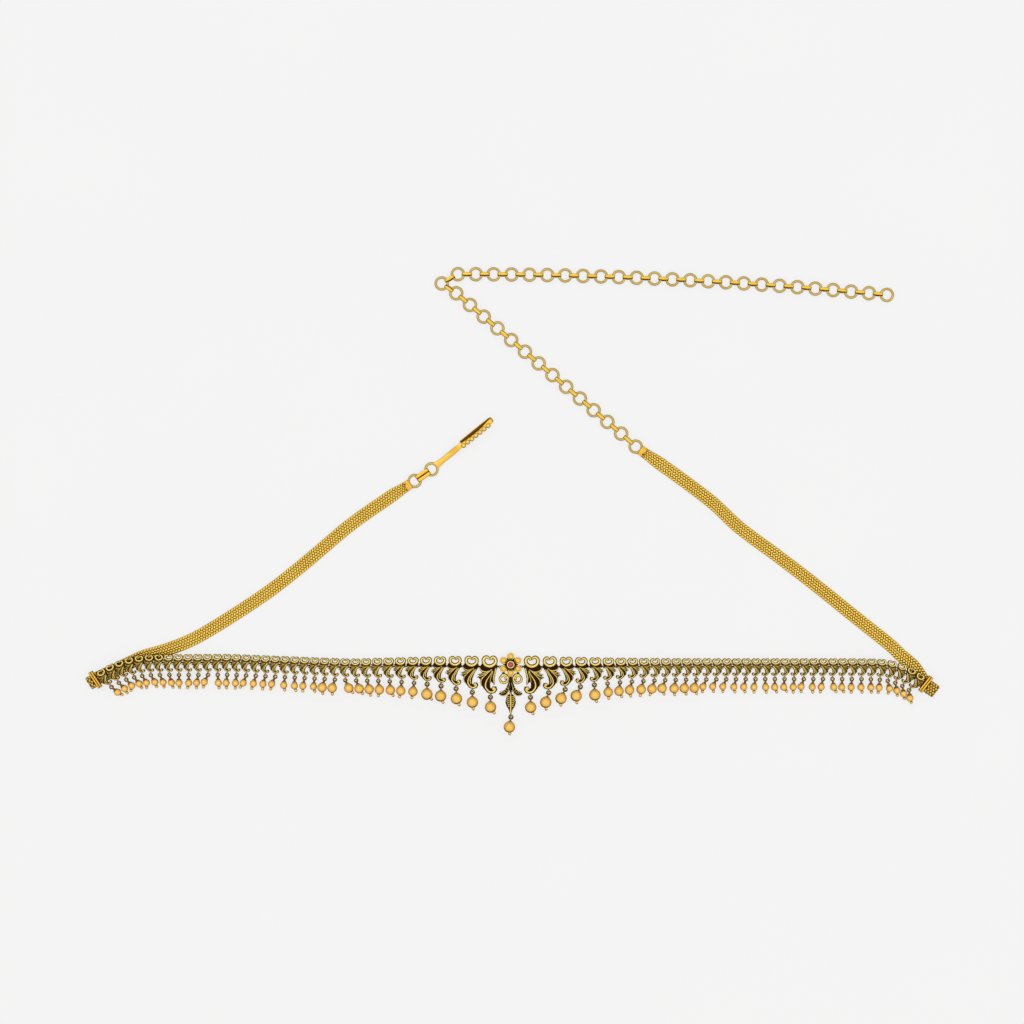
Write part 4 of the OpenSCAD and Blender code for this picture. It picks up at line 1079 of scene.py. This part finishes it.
class BELT_OT_flower(bpy.types.Operator):
    """Flower with its curls, leaves and pink stone"""

    bl_idname = "belt.flower"
    bl_label = "Flower"

    def execute(self, context):
        rims, domes = petals()
        flower = joined([centre_flower(), rims])
        make_piece("flower_and_leaves", flower, "cast_gold", "centre_motif")
        make_piece("petals", domes, "petal_gold", "centre_motif")
        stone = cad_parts["centre_stone"].data.materials
        stone.clear()
        stone.append(finish_of("pink_stone"))
        return {"FINISHED"}


class BELT_OT_woven_bands(bpy.types.Operator):
    """Bands of woven wire from the bars to the caps"""

    bl_idname = "belt.woven_bands"
    bl_label = "Woven bands"

    def execute(self, context):
        weave = context.scene.belt_weave
        for side, word in SIDES.items():
            make_piece(f"woven_band_{word}", woven_band(side, weave.stitch / MM, weave.wire / MM),
                       "woven_gold", f"mesh_band_{word}", sharp=70)
        return {"FINISHED"}


class BELT_OT_fittings(bpy.types.Operator):
    """Bars across the bands' ends and caps on their inner ends"""

    bl_idname = "belt.fittings"
    bl_label = "Bars and caps"

    def execute(self, context):
        for side, word in SIDES.items():
            make_piece(f"bar_{word}", end_bar(side), "fitting_gold", f"end_bar_{word}")
            make_piece(f"cap_{word}", end_cap(side), "fitting_gold", f"end_cap_{word}")
            make_piece(f"cap_ring_{word}", chain_ring(cap_ring(side)), "chain_gold",
                       f"end_cap_{word}")
        return {"FINISHED"}


class BELT_OT_chain(bpy.types.Operator):
    """Adjusting chain of wire rings joined by bent strips"""

    bl_idname = "belt.chain"
    bl_label = "Adjusting chain"

    def execute(self, context):
        slant, long_run = chain_routes()
        for word, rings, node, profile in (("slant", slant, "chain_slant", PLAIN_STRIP),
                                           ("long", long_run, "chain_run", ROLLED_STRIP)):
            strips = [link_between(a, b, CHAIN_STRIP, profile) for a, b in zip(rings, rings[1:])]
            skin = joined([chain_ring(middle) for middle in rings[1:]])
            make_piece(f"rings_{word}", skin, "chain_gold", node)
            make_piece(f"strips_{word}", joined(strips), "strip_gold", node)
        return {"FINISHED"}


class BELT_OT_hook(bpy.types.Operator):
    """Beaded hook and the strip that ties it to the band's cap"""

    bl_idname = "belt.hook"
    bl_label = "Hook"

    def execute(self, context):
        hook, beads = hook_form(context.scene.belt_weave.bead / MM)
        link = link_between(cap_ring(LEFT), hook_ring(), HOOK_STRIP, RIDGED_STRIP)
        make_piece("hook_blade", hook, "fitting_gold", "hook")
        make_piece("hook_beads", beads, "cast_gold", "hook")
        make_piece("hook_ring", chain_ring(hook_ring()), "chain_gold", "hook")
        make_piece("hook_strip", link, "fitting_gold", "hook_link")
        return {"FINISHED"}


# Sensor's width in mm, and each box light: place and width in m, and the setting of its power
SENSOR_W = 36.0
BOXES = (("key_box", (-0.5, 0.6, 1.5), 0.5, "key_light"),
         ("fill_box", (0.9, -0.2, 1.2), 0.4, "fill_light"))


class BELT_OT_stage(bpy.types.Operator):
    """White board, soft studio light and a camera that looks straight down"""

    bl_idname = "belt.stage"
    bl_label = "Stage"

    def execute(self, context):
        scene, stage = context.scene, context.scene.belt_stage
        half = stage.board / 2
        mesh = bpy.data.meshes.new("board")
        corners = [(-half, -half, 0), (half, -half, 0), (half, half, 0), (-half, half, 0)]
        mesh.from_pydata(corners, [], [(0, 1, 2, 3)])
        mesh.materials.append(white_board())
        board = put("board", mesh)
        board.visible_glossy = False
        for name, place, width, power in BOXES:
            data = bpy.data.lights.new(name, "AREA")
            data.shape, data.size, data.energy = "SQUARE", width, getattr(stage, power)
            aim = (-Vector(place)).to_track_quat("-Z", "Y").to_matrix().to_4x4()
            put(name, data).matrix_world = shift(*place) @ aim
        scene.world = studio_room(stage.room_light)
        scene.view_settings.view_transform = "Standard"
        data = bpy.data.cameras.new("camera")
        data.lens, data.sensor_width = stage.lens, SENSOR_W
        data.clip_start, data.clip_end = 0.01, 20.0
        scene.camera = put("camera", data)
        scene.camera.location = (*stage.middle, stage.frame_width * stage.lens / SENSOR_W)
        return {"FINISHED"}


OPERATORS = (BELT_OT_stage, BELT_OT_scroll_motifs, BELT_OT_ball_drops, BELT_OT_flower,
             BELT_OT_woven_bands, BELT_OT_fittings, BELT_OT_chain, BELT_OT_hook)


class BELT_PT_parts(bpy.types.Panel):
    """Lists the belt's pieces and their settings"""

    bl_label = "Gold waist belt"
    bl_idname = "BELT_PT_parts"
    bl_space_type = "VIEW_3D"
    bl_region_type = "UI"
    bl_category = "Belt"

    def draw(self, context):
        for group in (context.scene.belt_weave, context.scene.belt_stage):
            for name in group.bl_rna.properties.keys():
                if name not in ("rna_type", "name"):
                    self.layout.prop(group, name)
        for operator in OPERATORS:
            self.layout.operator(operator.bl_idname)


CLASSES = (BeltWeave, BeltStage, *OPERATORS, BELT_PT_parts)


def register():
    for each in CLASSES:
        bpy.utils.register_class(each)
    bpy.types.Scene.belt_weave = bpy.props.PointerProperty(type=BeltWeave)
    bpy.types.Scene.belt_stage = bpy.props.PointerProperty(type=BeltStage)


def unregister():
    del bpy.types.Scene.belt_stage
    del bpy.types.Scene.belt_weave
    for each in reversed(CLASSES):
        bpy.utils.unregister_class(each)


def main():
    register()
    for operator in OPERATORS:
        group, call = operator.bl_idname.split(".")
        getattr(getattr(bpy.ops, group), call)()


if __name__ == "__main__":
    main()
